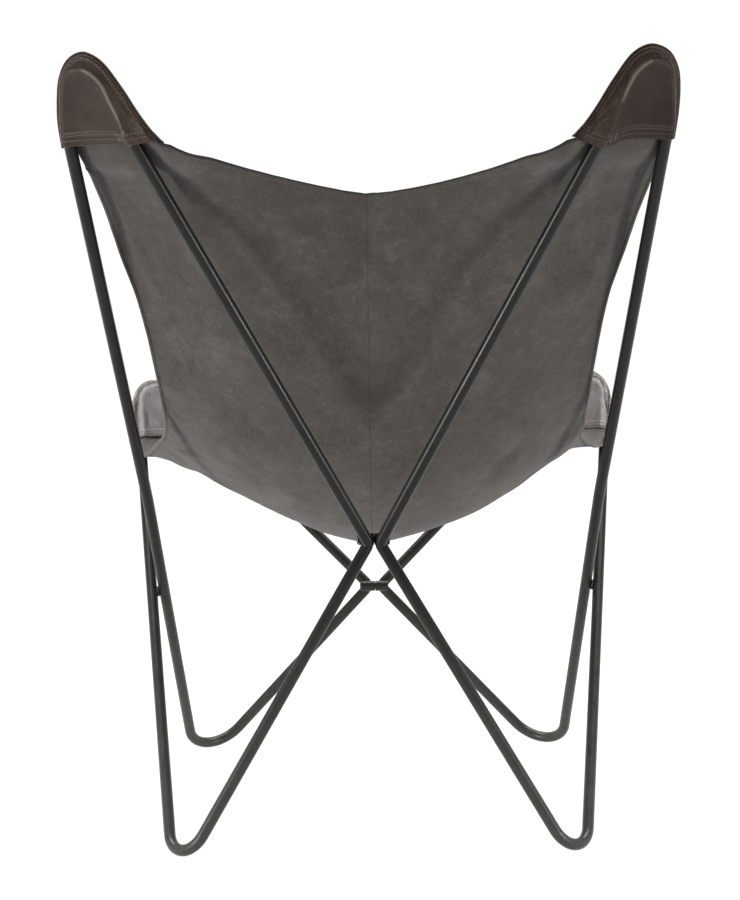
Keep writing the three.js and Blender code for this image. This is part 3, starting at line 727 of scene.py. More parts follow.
# ------------------------------------------------------------------ leather pieces
def leather_piece(pl, skin, edge, side, thick, lift, hem_band, creases, wave_seed, hem_up, press=0.0, ridge_highlight=0.75, flap_light=0.0, shine=(1.0, 0.0, 1.0), nb=72):
    """One face of a pocket: a shell over the skin's height. Returns the shell and what the stitches need."""
    curve = edge
    x = curve[:, 0]
    yh = skin.hem_y(x) + hem_up(x)
    yo = np.maximum(curve[:, 1], yh + 0.02)
    b = np.linspace(0, 1, nb)
    b = 0.55 * b + 0.45 * (0.5 - 0.5 * np.cos(math.pi * b))
    X = np.repeat(x[:, None], nb, 1)
    Y = yh[:, None] + (yo - yh)[:, None] * b[None]
    D = np.full(X.shape, 1e9)                       # distance to the free outline
    for k in range(0, len(curve), 2):
        D = np.minimum(D, np.hypot(X - curve[k, 0], Y - curve[k, 1]))
    H = Y - yh[:, None]                             # distance to the hem
    h = skin.at(X, Y) + lift
    base = np.stack([X, Y, np.zeros_like(X)], -1) + wave_seed
    body = step(4, 14, D)
    h = h + (noise3(base, 30) * 0.45 + noise3(base + 90, 11) * 0.16) * body
    h = h + creases(X, Y) * step(2, 9, D)
    rod = skin.rod[:, :2]
    rt = unit(np.gradient(rod, axis=0))
    rn = np.stack([-rt[:, 1], rt[:, 0]], -1)
    rn *= np.sign((rn * (rod - np.array([0, -30.0]))).sum(1))[:, None]
    shoulder = rod + 3.2 * rn
    rd, sd = np.full(X.shape, 1e9), np.full(X.shape, 1e9)      # distance to the bar, and to its outer shoulder
    for a in range(0, len(rod), 40):
        rd = np.minimum(rd, np.hypot(X[..., None] - rod[a:a + 40, 0], Y[..., None] - rod[a:a + 40, 1]).min(-1))
        sd = np.minimum(sd, np.hypot(X[..., None] - shoulder[a:a + 40, 0], Y[..., None] - shoulder[a:a + 40, 1]).min(-1))
    h = h + press * np.exp(-(sd / 3.6) ** 2) * step(3, 9, D) * step(14, -14, X)
    over = np.full(X.shape, -50.0)                  # the bar stays under the leather right out to its edge
    for a in range(0, len(rod), 40):
        dd = (X[..., None] - rod[a:a + 40, 0]) ** 2 + (Y[..., None] - rod[a:a + 40, 1]) ** 2
        near = dd < (ROD_R + 0.3) ** 2
        over = np.maximum(over, np.where(near, side * skin.rod[a:a + 40, 2] + np.sqrt(np.maximum((ROD_R + 0.3) ** 2 - dd, 0)), -50.0).max(-1))
    h = np.maximum(h, over)
    band = 0.8 * (1 - step(hem_band - 1.2, hem_band + 1.2, H))
    groove = np.zeros_like(H)
    for at in (hem_band - 8.6, hem_band - 2.6):
        groove -= 0.28 * np.exp(-((H - at) / 0.9) ** 2)
    groove -= 0.30 * np.exp(-((D - 3.2) / 0.9) ** 2) * step(1.0, 6.0, H)
    soft = 0.5 + 0.5 * step(0, 1.4, np.minimum(D, H))
    top = h + (thick + band) * soft + groove
    q_top = np.stack([X, Y, side * top], -1)
    q_bot = np.stack([X, Y, side * (h + thick * 0.15 * (1 - soft))], -1)
    T3, B3 = from_plane(pl, q_top), from_plane(pl, q_bot)
    taper_weight = shine[0] + (1 - shine[0]) * step(shine[1], shine[2], H)          # the painted highlight along the ridge dulls towards the hem
    # Pale rubbed edges along the outline and the hem are wear; the pale ridge along the bar is a painted highlight.
    worn = ridge_highlight * (0.5 + 0.5 * taper_weight) * np.exp(-(np.where(X < 0, sd, rd) / 3.0) ** 2) * (0.35 + 0.65 * step(20, -20, X)) + 0.8 * np.exp(-(D / 1.6) ** 2) + 0.7 * np.exp(-(H / 1.3) ** 2) + 0.35 * np.exp(-((H - hem_band) / 1.5) ** 2)
    # Painted light: the flap beyond the bar is made paler where light falls on it.
    off_bar = np.where(inside(np.concatenate([rod, rod[:1]]), X, Y), 0.0, 1.0) * step(2, 7, rd) * step(10, -14, X)
    worn = np.clip(worn + flap_light * off_bar * step(2, 6, D), 0, 0.8)
    # Painted highlight: a thin bright line along the bar's outer shoulder.
    if press:
        worn = worn + 0.35 * taper_weight * np.exp(-(sd / 1.4) ** 2) * step(20, -20, X) * step(2, 6, D)
    worn = np.clip(worn, 0, 1)
    gx, gy, gt = X.ravel(), Y.ravel(), top.ravel()

    def top_at(xx, yy):
        """Height of the finished face at plane points."""
        out = np.zeros(len(xx))
        for a in range(0, len(xx), 40):
            d = np.hypot(gx[None] - xx[a:a + 40, None], gy[None] - yy[a:a + 40, None])
            k = np.argpartition(d, 4, axis=1)[:, :4]
            w = 1 / (np.take_along_axis(d, k, 1) + 0.05)
            out[a:a + 40] = (gt[k] * w).sum(1) / w.sum(1)
        return out

    return {"X": X, "Y": Y, "top": T3, "bottom": B3, "worn": worn, "plane": pl, "skin": skin, "side": side, "edge": curve,
            "height": top_at,
            "hem_y": lambda xx: skin.hem_y(xx) + hem_up(xx)}


def surface_line(piece, xy, extra=0.0):
    """3-D line on a leather face above plane points xy, with normals."""
    pl, sk, side = piece["plane"], piece["skin"], piece["side"]
    z = piece["height"](xy[:, 0], xy[:, 1]) + extra + 0.06
    e = 0.8
    gx = (sk.at(xy[:, 0] + e, xy[:, 1]) - sk.at(xy[:, 0] - e, xy[:, 1])) / (2 * e)
    gy = (sk.at(xy[:, 0], xy[:, 1] + e) - sk.at(xy[:, 0], xy[:, 1] - e)) / (2 * e)
    n = unit(np.stack([-gx, -gy, np.ones_like(gx)], -1)) * np.array([1, 1, side])
    p = from_plane(pl, np.stack([xy[:, 0], xy[:, 1], side * z], -1))
    nn = n[:, :1] * pl["ex"] + n[:, 1:2] * pl["ey"] + n[:, 2:3] * pl["n"]
    return p, unit(nn)


def hem_line(piece, offset, margin):
    c = piece["edge"]
    x = np.linspace(c[0, 0] - margin, c[-1, 0] + margin * 1.6, 160)
    y = piece["hem_y"](x) + offset
    ok = inside(np.concatenate([c, [c[0]]]), x, y)
    return np.stack([x, y], -1)[ok]


def stitch_leather(thread, piece, rows, edge_in, tacks):
    for off in rows:
        xy = hem_line(piece, off, 3.5)
        p, n = surface_line(piece, xy)
        thread.row(p, n, pitch=4.1, length=3.2, radius=0.45)
    c = inset(piece["edge"], edge_in)
    H = c[:, 1] - piece["hem_y"](c[:, 0])
    c = resample(c[H > 2.5], 300)
    p, n = surface_line(piece, c)
    thread.row(p, n, pitch=4.1, length=3.0, radius=0.34, sink=0.1)
    for tx in tacks:                                  # bar tacks where the bars leave the hem
        for dx in (-2.8, 2.8):
            y = piece["hem_y"](tx + dx) + rows[0] + np.linspace(-1.2, rows[1] - rows[0] + 1.2, 8)
            for yy in y:
                xy = np.stack([np.linspace(tx + dx - 1.7, tx + dx + 1.7, 5), np.full(5, yy)], -1)
                p, n = surface_line(piece, xy, 0.1)
                L = np.linalg.norm(p[-1] - p[0])
                thread.place(p[2:3], unit(p[-1:] - p[:1]), n[2:3], np.array([L]), 0.42, 0.4)


# ------------------------------------------------------------------ materials
def new_material(name):
    m = bpy.data.materials.new(name)
    m.use_nodes = True
    nt = m.node_tree
    nt.nodes.clear()
    out = nt.nodes.new("ShaderNodeOutputMaterial")
    bs = nt.nodes.new("ShaderNodeBsdfPrincipled")
    nt.links.new(bs.outputs["BSDF"], out.inputs["Surface"])
    return m, nt, bs


def node(nt, kind, **kw):
    n = nt.nodes.new(kind)
    for k, v in kw.items():
        if k.startswith("in_"):
            key = k[3:]
            key = int(key) if key.isdigit() else key.replace("_", " ")
            n.inputs[key].default_value = v
        else:
            setattr(n, k, v)
    return n


def math_node(nt, op, a, b=None, clamp=False):
    n = node(nt, "ShaderNodeMath", operation=op, use_clamp=clamp)
    for k, v in enumerate((a, b)):
        if v is None:
            continue
        if isinstance(v, (int, float)):
            n.inputs[k].default_value = v
        else:
            nt.links.new(v, n.inputs[k])
    return n.outputs[0]


def noise_node(nt, vec, scale, detail=3.0, rough=0.55, distort=0.0):
    n = node(nt, "ShaderNodeTexNoise", in_Scale=scale, in_Detail=detail, in_Roughness=rough, in_Distortion=distort)
    nt.links.new(vec, n.inputs["Vector"])
    return n.outputs["Fac"]


def ramp(nt, fac, stops):
    r = node(nt, "ShaderNodeValToRGB")
    el = r.color_ramp.elements
    while len(el) < len(stops):
        el.new(0.5)
    for e, (p, c) in zip(el, stops):
        e.position = p
        e.color = (*c, 1) if len(c) == 3 else c
    nt.links.new(fac, r.inputs["Fac"])
    return r.outputs["Color"]


def mix_colour(nt, fac, a, b, blend="MIX"):
    n = node(nt, "ShaderNodeMix", data_type="RGBA", blend_type=blend)
    for sock, v in ((n.inputs["Factor"], fac), (n.inputs[6], a), (n.inputs[7], b)):
        if isinstance(v, (int, float)):
            sock.default_value = v
        elif isinstance(v, tuple):
            sock.default_value = (*v, 1) if len(v) == 3 else v
        else:
            nt.links.new(v, sock)
    return n.outputs[2]


def map_range(nt, v, a, b, c, d):
    n = node(nt, "ShaderNodeMapRange", in_1=a, in_2=b, in_3=c, in_4=d)
    nt.links.new(v, n.inputs[0])
    return n.outputs[0]


def bump(nt, height, strength, distance, normal=None):
    b = node(nt, "ShaderNodeBump", in_Strength=strength, in_Distance=distance)
    nt.links.new(height, b.inputs["Height"])
    if normal is not None:
        nt.links.new(normal, b.inputs["Normal"])
    return b.outputs["Normal"]


def srgb(r, g, b):
    return tuple(((c / 255) / 12.92 if c / 255 <= 0.04045 else ((c / 255 + 0.055) / 1.055) ** 2.4) for c in (r, g, b))


def canvas_material():
    m, nt, bs = new_material("washed_canvas")
    uv = node(nt, "ShaderNodeUVMap", uv_map="UVMap").outputs["UV"]
    obj = node(nt, "ShaderNodeTexCoord").outputs["Object"]
    worn = node(nt, "ShaderNodeAttribute", attribute_name="worn").outputs["Fac"]
    sep = node(nt, "ShaderNodeSeparateXYZ")
    nt.links.new(uv, sep.inputs[0])
    u, v = sep.outputs[0], sep.outputs[1]
    # plain weave, warp along the chair
    k = 2 * math.pi / 0.00135
    wu = math_node(nt, "SINE", math_node(nt, "MULTIPLY", u, k))
    wv = math_node(nt, "SINE", math_node(nt, "MULTIPLY", v, k))
    weave = math_node(nt, "MULTIPLY", wu, wv)
    slub_map = node(nt, "ShaderNodeMapping", in_Scale=(900.0, 70.0, 1.0))
    nt.links.new(uv, slub_map.inputs["Vector"])
    slub = noise_node(nt, slub_map.outputs[0], 1.0, 2.0)
    slub_map2 = node(nt, "ShaderNodeMapping", in_Scale=(70.0, 900.0, 1.0))
    nt.links.new(uv, slub_map2.inputs["Vector"])
    slub2 = noise_node(nt, slub_map2.outputs[0], 1.0, 2.0)
    # washed, uneven colour
    big = noise_node(nt, obj, 5.5, 4.0, 0.6, 0.4)
    mid = noise_node(nt, obj, 22.0, 5.0, 0.62, 0.6)
    fine = noise_node(nt, obj, 110.0, 3.0, 0.6)
    tone = math_node(nt, "ADD", math_node(nt, "MULTIPLY", big, 0.32), math_node(nt, "MULTIPLY", mid, 0.44))
    tone = math_node(nt, "ADD", tone, math_node(nt, "MULTIPLY", fine, 0.24))
    base = ramp(nt, tone, [(0.39, srgb(58, 51, 45)), (0.47, srgb(71, 67, 62)), (0.53, srgb(77, 73, 68)), (0.62, srgb(92, 88, 83))])
    warm = noise_node(nt, obj, 9.0, 3.0, 0.5)
    base = mix_colour(nt, map_range(nt, warm, 0.5, 0.72, 0.0, 0.55), base, srgb(70, 61, 54))
    thread = math_node(nt, "ADD", math_node(nt, "MULTIPLY", slub, 0.62), math_node(nt, "MULTIPLY", slub2, 0.38))
    base = mix_colour(nt, map_range(nt, thread, 0.40, 0.62, 0.0, 0.42), base, srgb(94, 90, 87))
    base = mix_colour(nt, map_range(nt, weave, -1.0, -0.2, 0.35, 0.0), base, srgb(42, 39, 37))
    grain = noise_node(nt, obj, 620.0, 2.0, 0.6)
    base = mix_colour(nt, map_range(nt, grain, 0.52, 0.72, 0.0, 0.26), base, srgb(106, 102, 99))
    base = mix_colour(nt, map_range(nt, grain, 0.48, 0.30, 0.0, 0.26), base, srgb(46, 42, 39))
    # old fold marks: thin pale lines, mostly across the cloth, in patches
    line_map = node(nt, "ShaderNodeMapping", in_Scale=(30.0, 74.0, 1.0))
    nt.links.new(uv, line_map.inputs["Vector"])
    lines = noise_node(nt, line_map.outputs[0], 1.0, 5.0, 0.62, 0.9)
    lines = map_range(nt, math_node(nt, "ABSOLUTE", math_node(nt, "SUBTRACT", lines, 0.5)), 0.0, 0.016, 1.0, 0.0)
    patch = math_node(nt, "MULTIPLY", map_range(nt, mid, 0.44, 0.60, 0.0, 1.0), map_range(nt, fine, 0.40, 0.58, 0.15, 1.0))
    lines = math_node(nt, "MULTIPLY", lines, patch)
    base = mix_colour(nt, math_node(nt, "MULTIPLY", lines, 0.42), base, srgb(128, 122, 115))
    creases = noise_node(nt, obj, 34.0, 6.0, 0.7, 1.6)
    base = mix_colour(nt, map_range(nt, creases, 0.60, 0.70, 0.0, 0.22), base, srgb(104, 99, 95))
    # Pale where the edges are rubbed (positive values of the attribute); painted shade, near-black, where it is
    # negative: the top edge's rim, the hem's inner step and the centre seam.
    base = mix_colour(nt, math_node(nt, "MULTIPLY", map_range(nt, worn, 0.0, 1.0, 0.0, 1.0), map_range(nt, mid, 0.3, 0.65, 0.35, 0.85)), base, srgb(112, 106, 101))
    base = mix_colour(nt, map_range(nt, worn, 0.0, -1.0, 0.0, 0.75), base, srgb(30, 27, 25))
    sep_o = node(nt, "ShaderNodeSeparateXYZ")
    nt.links.new(obj, sep_o.inputs[0])
    taper_weight = map_range(nt, sep_o.outputs[2], 0.36, 0.78, 0.74, 0.545)   # painted light: paler towards the bottom, where light bounced off the floor falls, and darker towards the top
    tint = node(nt, "ShaderNodeCombineColor")
    for k, f in enumerate((1.0, 1.0, 0.985)):
        nt.links.new(math_node(nt, "MULTIPLY", taper_weight, f), tint.inputs[k])
    base = mix_colour(nt, 1.0, base, tint.outputs[0], "MULTIPLY")
    nt.links.new(base, bs.inputs["Base Color"])
    bs.inputs["Roughness"].default_value = 0.93
    bs.inputs["Specular IOR Level"].default_value = 0.22
    bs.inputs["Sheen Weight"].default_value = 0.12
    bs.inputs["Sheen Roughness"].default_value = 0.5
    h = math_node(nt, "ADD", math_node(nt, "MULTIPLY", weave, 0.5), math_node(nt, "MULTIPLY", thread, 0.8))
    n1 = bump(nt, h, 0.5, 0.00035)
    n2 = bump(nt, creases, 0.22, 0.0016, n1)
    n3 = bump(nt, lines, 0.30, 0.0008, n2)
    nt.links.new(n3, bs.inputs["Normal"])
    return m


def leather_material(name, level, gloss, rough_lo, rough_hi):
    m, nt, bs = new_material(name)
    obj = node(nt, "ShaderNodeTexCoord").outputs["Object"]
    worn = node(nt, "ShaderNodeAttribute", attribute_name="worn").outputs["Fac"]
    big = noise_node(nt, obj, 16.0, 4.0, 0.6, 0.5)
    mid = noise_node(nt, obj, 70.0, 4.0, 0.6, 0.8)
    dark = node(nt, "ShaderNodeAttribute", attribute_name="dark").outputs["Fac"]
    base = ramp(nt, big, [(0.30, srgb(50, 39, 33)), (0.50, srgb(59, 47, 41)), (0.72, srgb(70, 57, 50))])
    base = mix_colour(nt, map_range(nt, mid, 0.5, 0.72, 0.0, 0.4), base, srgb(60, 49, 39))
    base = mix_colour(nt, dark, base, srgb(20, 14, 12))
    # Paler where the leather is rubbed at its edges; painted highlight on the ridge over the bar and painted light on
    # the flap beyond it.
    base = mix_colour(nt, math_node(nt, "MULTIPLY", worn, map_range(nt, mid, 0.30, 0.62, 0.30, 0.85)), base, srgb(98, 84, 76))
    cells = node(nt, "ShaderNodeTexVoronoi", feature="DISTANCE_TO_EDGE", in_Scale=780.0)
    warp = node(nt, "ShaderNodeTexNoise", in_Scale=260.0, in_Detail=2.0)
    nt.links.new(obj, warp.inputs["Vector"])
    add = node(nt, "ShaderNodeVectorMath", operation="MULTIPLY_ADD")
    nt.links.new(warp.outputs["Color"], add.inputs[0])
    add.inputs[1].default_value = (0.0016, 0.0016, 0.0016)
    nt.links.new(obj, add.inputs[2])
    nt.links.new(add.outputs[0], cells.inputs["Vector"])
    grain = map_range(nt, cells.outputs["Distance"], 0.0, 0.22, 0.0, 1.0)
    base = mix_colour(nt, map_range(nt, grain, 0.0, 0.6, 0.35, 0.0), base, srgb(24, 19, 18))
    base = mix_colour(nt, 1.0, base, (level, level * 0.95, level * 0.90), "MULTIPLY")
    # Painted highlight: where the ridge is brightest, the colour is lifted towards pale grey.
    base = mix_colour(nt, map_range(nt, worn, 0.80, 1.0, 0.0, 0.5), base, srgb(124, 115, 110))
    nt.links.new(base, bs.inputs["Base Color"])
    rough = math_node(nt, "ADD", map_range(nt, mid, 0.3, 0.7, rough_lo, rough_hi), math_node(nt, "MULTIPLY", worn, -0.06))
    nt.links.new(rough, bs.inputs["Roughness"])
    bs.inputs["Specular IOR Level"].default_value = gloss
    wr_map = node(nt, "ShaderNodeTexNoise", in_Scale=120.0, in_Detail=5.0, in_Roughness=0.65, in_Distortion=1.2)
    nt.links.new(obj, wr_map.inputs["Vector"])
    n1 = bump(nt, grain, 0.35, 0.00030)
    n2 = bump(nt, wr_map.outputs["Fac"], 0.25, 0.0010, n1)
    nt.links.new(n2, bs.inputs["Normal"])
    return m


def paint_material(name, tint, rough, speck):
    m, nt, bs = new_material(name)
    obj = node(nt, "ShaderNodeTexCoord").outputs["Object"]
    n_big = noise_node(nt, obj, 30.0, 3.0)
    n_fine = noise_node(nt, obj, 1400.0, 2.0)
    dust = noise_node(nt, obj, 210.0, 4.0, 0.7)
    base = ramp(nt, n_big, [(0.3, tuple(c * 0.85 for c in tint)), (0.7, tuple(c * 1.2 for c in tint))])
    base = mix_colour(nt, map_range(nt, dust, 0.62, 0.78, 0.0, speck), base, (0.13, 0.125, 0.12))
    height = node(nt, "ShaderNodeSeparateXYZ")
    nt.links.new(obj, height.inputs[0])
    # Paler grey towards the floor, unevenly.
    paler_near_floor = math_node(nt, "MULTIPLY", map_range(nt, height.outputs[2], 0.05, 0.34, 0.20, 0.0), map_range(nt, dust, 0.25, 0.75, 0.7, 1.3))
    base = mix_colour(nt, paler_near_floor, base, (0.16, 0.158, 0.153))
    nt.links.new(base, bs.inputs["Base Color"])
    nt.links.new(map_range(nt, n_big, 0.3, 0.7, rough - 0.05, rough + 0.07), bs.inputs["Roughness"])
    bs.inputs["Specular IOR Level"].default_value = 0.19
    nt.links.new(bump(nt, n_fine, 0.16, 0.00025), bs.inputs["Normal"])
    return m


def steel_material():
    m, nt, bs = new_material("black_oxide_steel")
    obj = node(nt, "ShaderNodeTexCoord").outputs["Object"]
    n = noise_node(nt, obj, 320.0, 4.0, 0.6)
    base = ramp(nt, n, [(0.3, (0.035, 0.034, 0.033)), (0.7, (0.085, 0.083, 0.08))])
    nt.links.new(base, bs.inputs["Base Color"])
    bs.inputs["Metallic"].default_value = 0.9
    nt.links.new(map_range(nt, n, 0.3, 0.7, 0.30, 0.48), bs.inputs["Roughness"])
    nt.links.new(bump(nt, noise_node(nt, obj, 1800.0, 2.0), 0.1, 0.0002), bs.inputs["Normal"])
    return m


def thread_material(name, rgb):
    m, nt, bs = new_material(name)
    obj = node(nt, "ShaderNodeTexCoord").outputs["Object"]
    n = noise_node(nt, obj, 500.0, 3.0)
    base = ramp(nt, n, [(0.3, tuple(c * 0.75 for c in rgb)), (0.7, tuple(c * 1.2 for c in rgb))])
    nt.links.new(base, bs.inputs["Base Color"])
    bs.inputs["Roughness"].default_value = 0.7
    bs.inputs["Specular IOR Level"].default_value = 0.3
    w = node(nt, "ShaderNodeTexWave", in_Scale=900.0, in_Distortion=2.0)
    nt.links.new(obj, w.inputs["Vector"])
    nt.links.new(bump(nt, w.outputs["Fac"], 0.3, 0.0002), bs.inputs["Normal"])
    return m


MAT_CANVAS = canvas_material()
MAT_LEATHER = leather_material("dark_leather", 0.56, 0.11, 0.28, 0.40)
MAT_LEATHER_DEEP = leather_material("deep_brown_leather", 0.50, 0.07, 0.26, 0.38)
MAT_LEATHER_SOFT = leather_material("soft_leather", 0.56, 0.03, 0.74, 0.86)
MAT_LEATHER_KNEE = leather_material("polished_leather", 0.55, 0.48, 0.26, 0.38)
MAT_PAINT = paint_material("satin_black_paint", (0.0085, 0.0085, 0.0082), 0.30, 0.04)
MAT_STEEL = steel_material()
MAT_THREAD = thread_material("brown_thread", srgb(102, 91, 84))
MAT_THREAD_DARK = thread_material("dark_brown_thread", srgb(84, 73, 67))
MAT_THREAD_GREY = thread_material("grey_thread", srgb(76, 72, 65))


def finish_piece(ob, mat, body, slot, *nodes):
    ob.data.materials.clear()
    ob.data.materials.append(mat)
    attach(ob, body)
    if nodes:
        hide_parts(*nodes)
    return ob


# ------------------------------------------------------------------ camera, from the photograph's view
F_PX, PITCH, ROLL, U0 = 2285.0, 0.140401, 0.0157, 2.9
fwd = np.array([0, -math.cos(PITCH), -math.sin(PITCH)])
right = np.array([-1.0, 0, 0])
up = np.array([0, -math.sin(PITCH), math.cos(PITCH)])
fwd2 = unit(fwd - right * U0 / F_PX)
right2 = unit(right + fwd * U0 / F_PX)
r3 = math.cos(ROLL) * right2 - math.sin(ROLL) * up
u3 = math.cos(ROLL) * up + math.sin(ROLL) * right2
cam_data = bpy.data.cameras.new("camera")
cam_data.sensor_width = 36.0
cam_data.lens = F_PX / 900 * 36.0
cam_data.clip_end = 60
cam = bpy.data.objects.new("camera", cam_data)
loc = metres((0, 2765.57, 824.46))
cam.matrix_world = Matrix(((r3[0], u3[0], -fwd2[0], loc[0]), (r3[1], u3[1], -fwd2[1], loc[1]), (r3[2], u3[2], -fwd2[2], loc[2]), (0, 0, 0, 1)))
bpy.context.scene.collection.objects.link(cam)
bpy.context.scene.camera = cam

# ------------------------------------------------------------------ frame
rv, rf, ruv = rod_mesh()
if rod_signed(rv, rf) < 0:
    rf = rf[:, ::-1]
finish_piece(make_object("left_rod_loop", rv, rf, ruv), MAT_PAINT, "frame", "frame_paint", "left_side_frame")
mv, mf = mirror(rv, rf)
finish_piece(make_object("right_rod_loop", mv, mf, ruv), MAT_PAINT, "frame", "frame_paint", "right_side_frame")


def solid_turned(name, profile, axis, mat, body, slot, node_name, flip=False, segs=56):
    v, f = turned(profile, segs)
    if flip:
        v = v * np.array([-1, 1, 1])
        f = [q[::-1] for q in f]
    a, b, c = (np.array([v[q[k]] for q in f]) for k in (0, 1, 2))
    if float((a * np.cross(b, c)).sum()) < 0:
        f = [q[::-1] for q in f]
    ob = make_object(name, metres(v + axis), f)
    for p in ob.data.polygons:
        p.use_smooth = True
    return finish_piece(ob, mat, body, slot, *([node_name] if node_name else []))


B_IN, B_OUT = 0.2, 17.7


def ring_mesh(profile, segs=56):
    """Closed ring profile round +X."""
    pr = profile[:-1]
    a = np.linspace(0, 2 * math.pi, segs, endpoint=False)
    v = np.array([[(x, r * math.cos(t), r * math.sin(t)) for t in a] for r, x in pr]).reshape(-1, 3)
    f = grid_faces(len(pr), segs, wrap_i=True, wrap_j=True)
    A, B, C = (v[f[:, k]] for k in (0, 1, 2))
    if float((A * np.cross(B, C)).sum()) < 0:
        f = f[:, ::-1]
    return v, f


def ring_profile(r0, r1, x0, x1, soft):
    """Rounded rectangle in (radius, x), closed."""
    pts = []
    for cx, cr, a0 in ((x0 + soft, r1 - soft, 90), (x1 - soft, r1 - soft, 0), (x1 - soft, r0 + soft, -90), (x0 + soft, r0 + soft, 180)):
        for k in range(5):
            t = math.radians(a0 + 90 - 22.5 * k)
            pts.append((cr + soft * math.sin(t), cx + soft * math.cos(t)))
    return pts + [pts[0]]


for end, axis in (("front", FRONT_AXIS), ("rear", REAR_AXIS)):
    bv, bf = ring_mesh(ring_profile(4.3, 6.75, B_IN, B_OUT, 0.55))
    finish_piece(make_object(f"{end}_left_barrel_fine", metres(bv + axis), bf), MAT_PAINT, "frame", "frame_paint", f"{end}_left_barrel")
    mv, mf = mirror(bv, bf)
    finish_piece(make_object(f"{end}_right_barrel_fine", metres(mv + axis), mf), MAT_PAINT, "frame", "frame_paint", f"{end}_right_barrel")
    x0, x1 = -B_OUT + 0.5, B_OUT + 0.3
    head = [(0, x0), (3.1, x0), (4.0, x0 + 0.9)]
    for k in range(9):                                   # the thread's end shows inside the far barrel
        head += [(4.0, x0 + 1.0 + 1.25 * k), (3.55, x0 + 1.5 + 1.25 * k), (4.0, x0 + 2.0 + 1.25 * k)]
    head += [(4.0, x1), (6.0, x1), (6.22, x1 + 0.1), (6.3, x1 + 0.35), (6.24, x1 + 0.75), (5.95, x1 + 1.2), (5.4, x1 + 1.6),
             (4.7, x1 + 1.9), (3.9, x1 + 2.12), (3.2, x1 + 2.2), ((2.4,), x1 + 2.2), ((2.3,), x1 + 2.05), ((2.3,), x1 - 0.1), (0, x1 - 0.2)]
    solid_turned(f"{end}_cross_bolt_fine", head, axis, MAT_STEEL, f"{end}_bolt", "fastener", f"{end}_cross_bolt", segs=60)


# weld beads between barrel and bar, and round the side pads
def bead(line, radius, ripple):
    L = np.concatenate([[0], np.cumsum(np.linalg.norm(np.diff(line, axis=0), axis=1))])
    line = resample(line, max(24, int(L[-1] / 0.35)))
    t = unit(np.gradient(line, axis=0))
    s = np.linspace(0, L[-1], len(line))
    r = radius * (0.86 + 0.16 * np.abs(np.sin(math.pi * s / ripple))) * np.sqrt(np.clip(np.minimum(s, L[-1] - s) / (radius * 0.9) + 0.03, 0, 1))
    ring, _ = swept(line, t, r, 12, closed=False, start=(0.3, 0.5, 0.8))
    v = ring.reshape(-1, 3)
    n, m = ring.shape[:2]
    f = grid_faces(n, m, wrap_j=True).tolist()
    f += [list(range(m))[::-1], list(range((n - 1) * m, n * m))]
    A, B, C = (np.array([v[q[k]] for q in f]) for k in (0, 1, 2))
    if float((A * np.cross(B, C)).sum()) < 0:
        f = [q[::-1] for q in f]
    return v, f


def join_parts(parts):
    V, F, o = [], [], 0
    for v, f in parts:
        V.append(v)
        F += [tuple(int(i) + o for i in q) for q in f]
        o += len(v)
    return np.concatenate(V), F


welds = []
for i, axis, direction in ((4, FRONT_AXIS, FRONT_DIR), (7, REAR_AXIS, REAR_DIR)):
    b = BENDS[i]
    across = np.cross(direction, (1, 0, 0))
    mid = axis - direction * (6.75 + 0.15)
    for sg in (-1, 1):
        xs = np.linspace(b["mid"][0] - 4.6, b["mid"][0] + 5.6, 16)
        pts = np.array([mid + across * sg * 4.1 + np.array([x, 0, 0]) for x in xs])
        welds.append(bead(pts, 2.0, 1.7))
wl_v, wl_f = join_parts(welds)

IN_A, IN_B = np.array(CORNERS[2][0]), np.array(CORNERS[3][0])
OUT_A, OUT_B = np.array(CORNERS[5][0]), np.array(CORNERS[6][0])


def nearest_points(p0, p1, q0, q1):
    a, b, w = p1 - p0, q1 - q0, p0 - q0
    A, B, C, D, E = a @ a, a @ b, b @ b, a @ w, b @ w
    den = A * C - B * B
    return p0 + a * (B * E - C * D) / den, q0 + b * (A * E - B * D) / den


PAD_A, PAD_B = nearest_points(IN_A, IN_B, OUT_A, OUT_B)
pad_dir = unit(PAD_B - PAD_A)
pad_mid = (PAD_A + PAD_B) / 2
pad_t = np.linalg.norm(PAD_B - PAD_A) - 2 * ROD_R - 0.6
pu = unit(np.cross(pad_dir, (0, 0, 1)))
pw = np.cross(pad_dir, pu)
sp_v, sp_f = turned(soft_profile([(0, -pad_t / 2), (6.0, -pad_t / 2), (6.0, pad_t / 2), (0, pad_t / 2)], 0.4), 48)
sp_v = pad_mid + sp_v[:, :1] * pad_dir + sp_v[:, 1:2] * pu + sp_v[:, 2:3] * pw
A, B, C = (np.array([sp_v[q[k]] for q in sp_f]) for k in (0, 1, 2))
if float(((A - pad_mid) * np.cross(B - pad_mid, C - pad_mid)).sum()) < 0:
    sp_f = [q[::-1] for q in sp_f]
ang = np.linspace(0, 2 * math.pi, 80)
ring_line = pad_mid + 4.9 * (np.cos(ang)[:, None] * pu + np.sin(ang)[:, None] * pw)
pad_bead = bead(ring_line, 1.7, 1.9)
for sd, nm in ((1, "left"), (-1, "right")):
    for base, part, rep in (("side_pad", (sp_v, sp_f), f"{nm}_side_spacer"), ("side_pad_weld", pad_bead, None), ("barrel_welds", (wl_v, wl_f), None)):
        v, f = part
        if sd < 0:
            v = v * np.array([-1, 1, 1])
            f = [q[::-1] for q in f]
        finish_piece(make_object(f"{nm}_{base}", metres(v), f), MAT_PAINT, "frame", "frame_paint", *([rep] if rep else []))

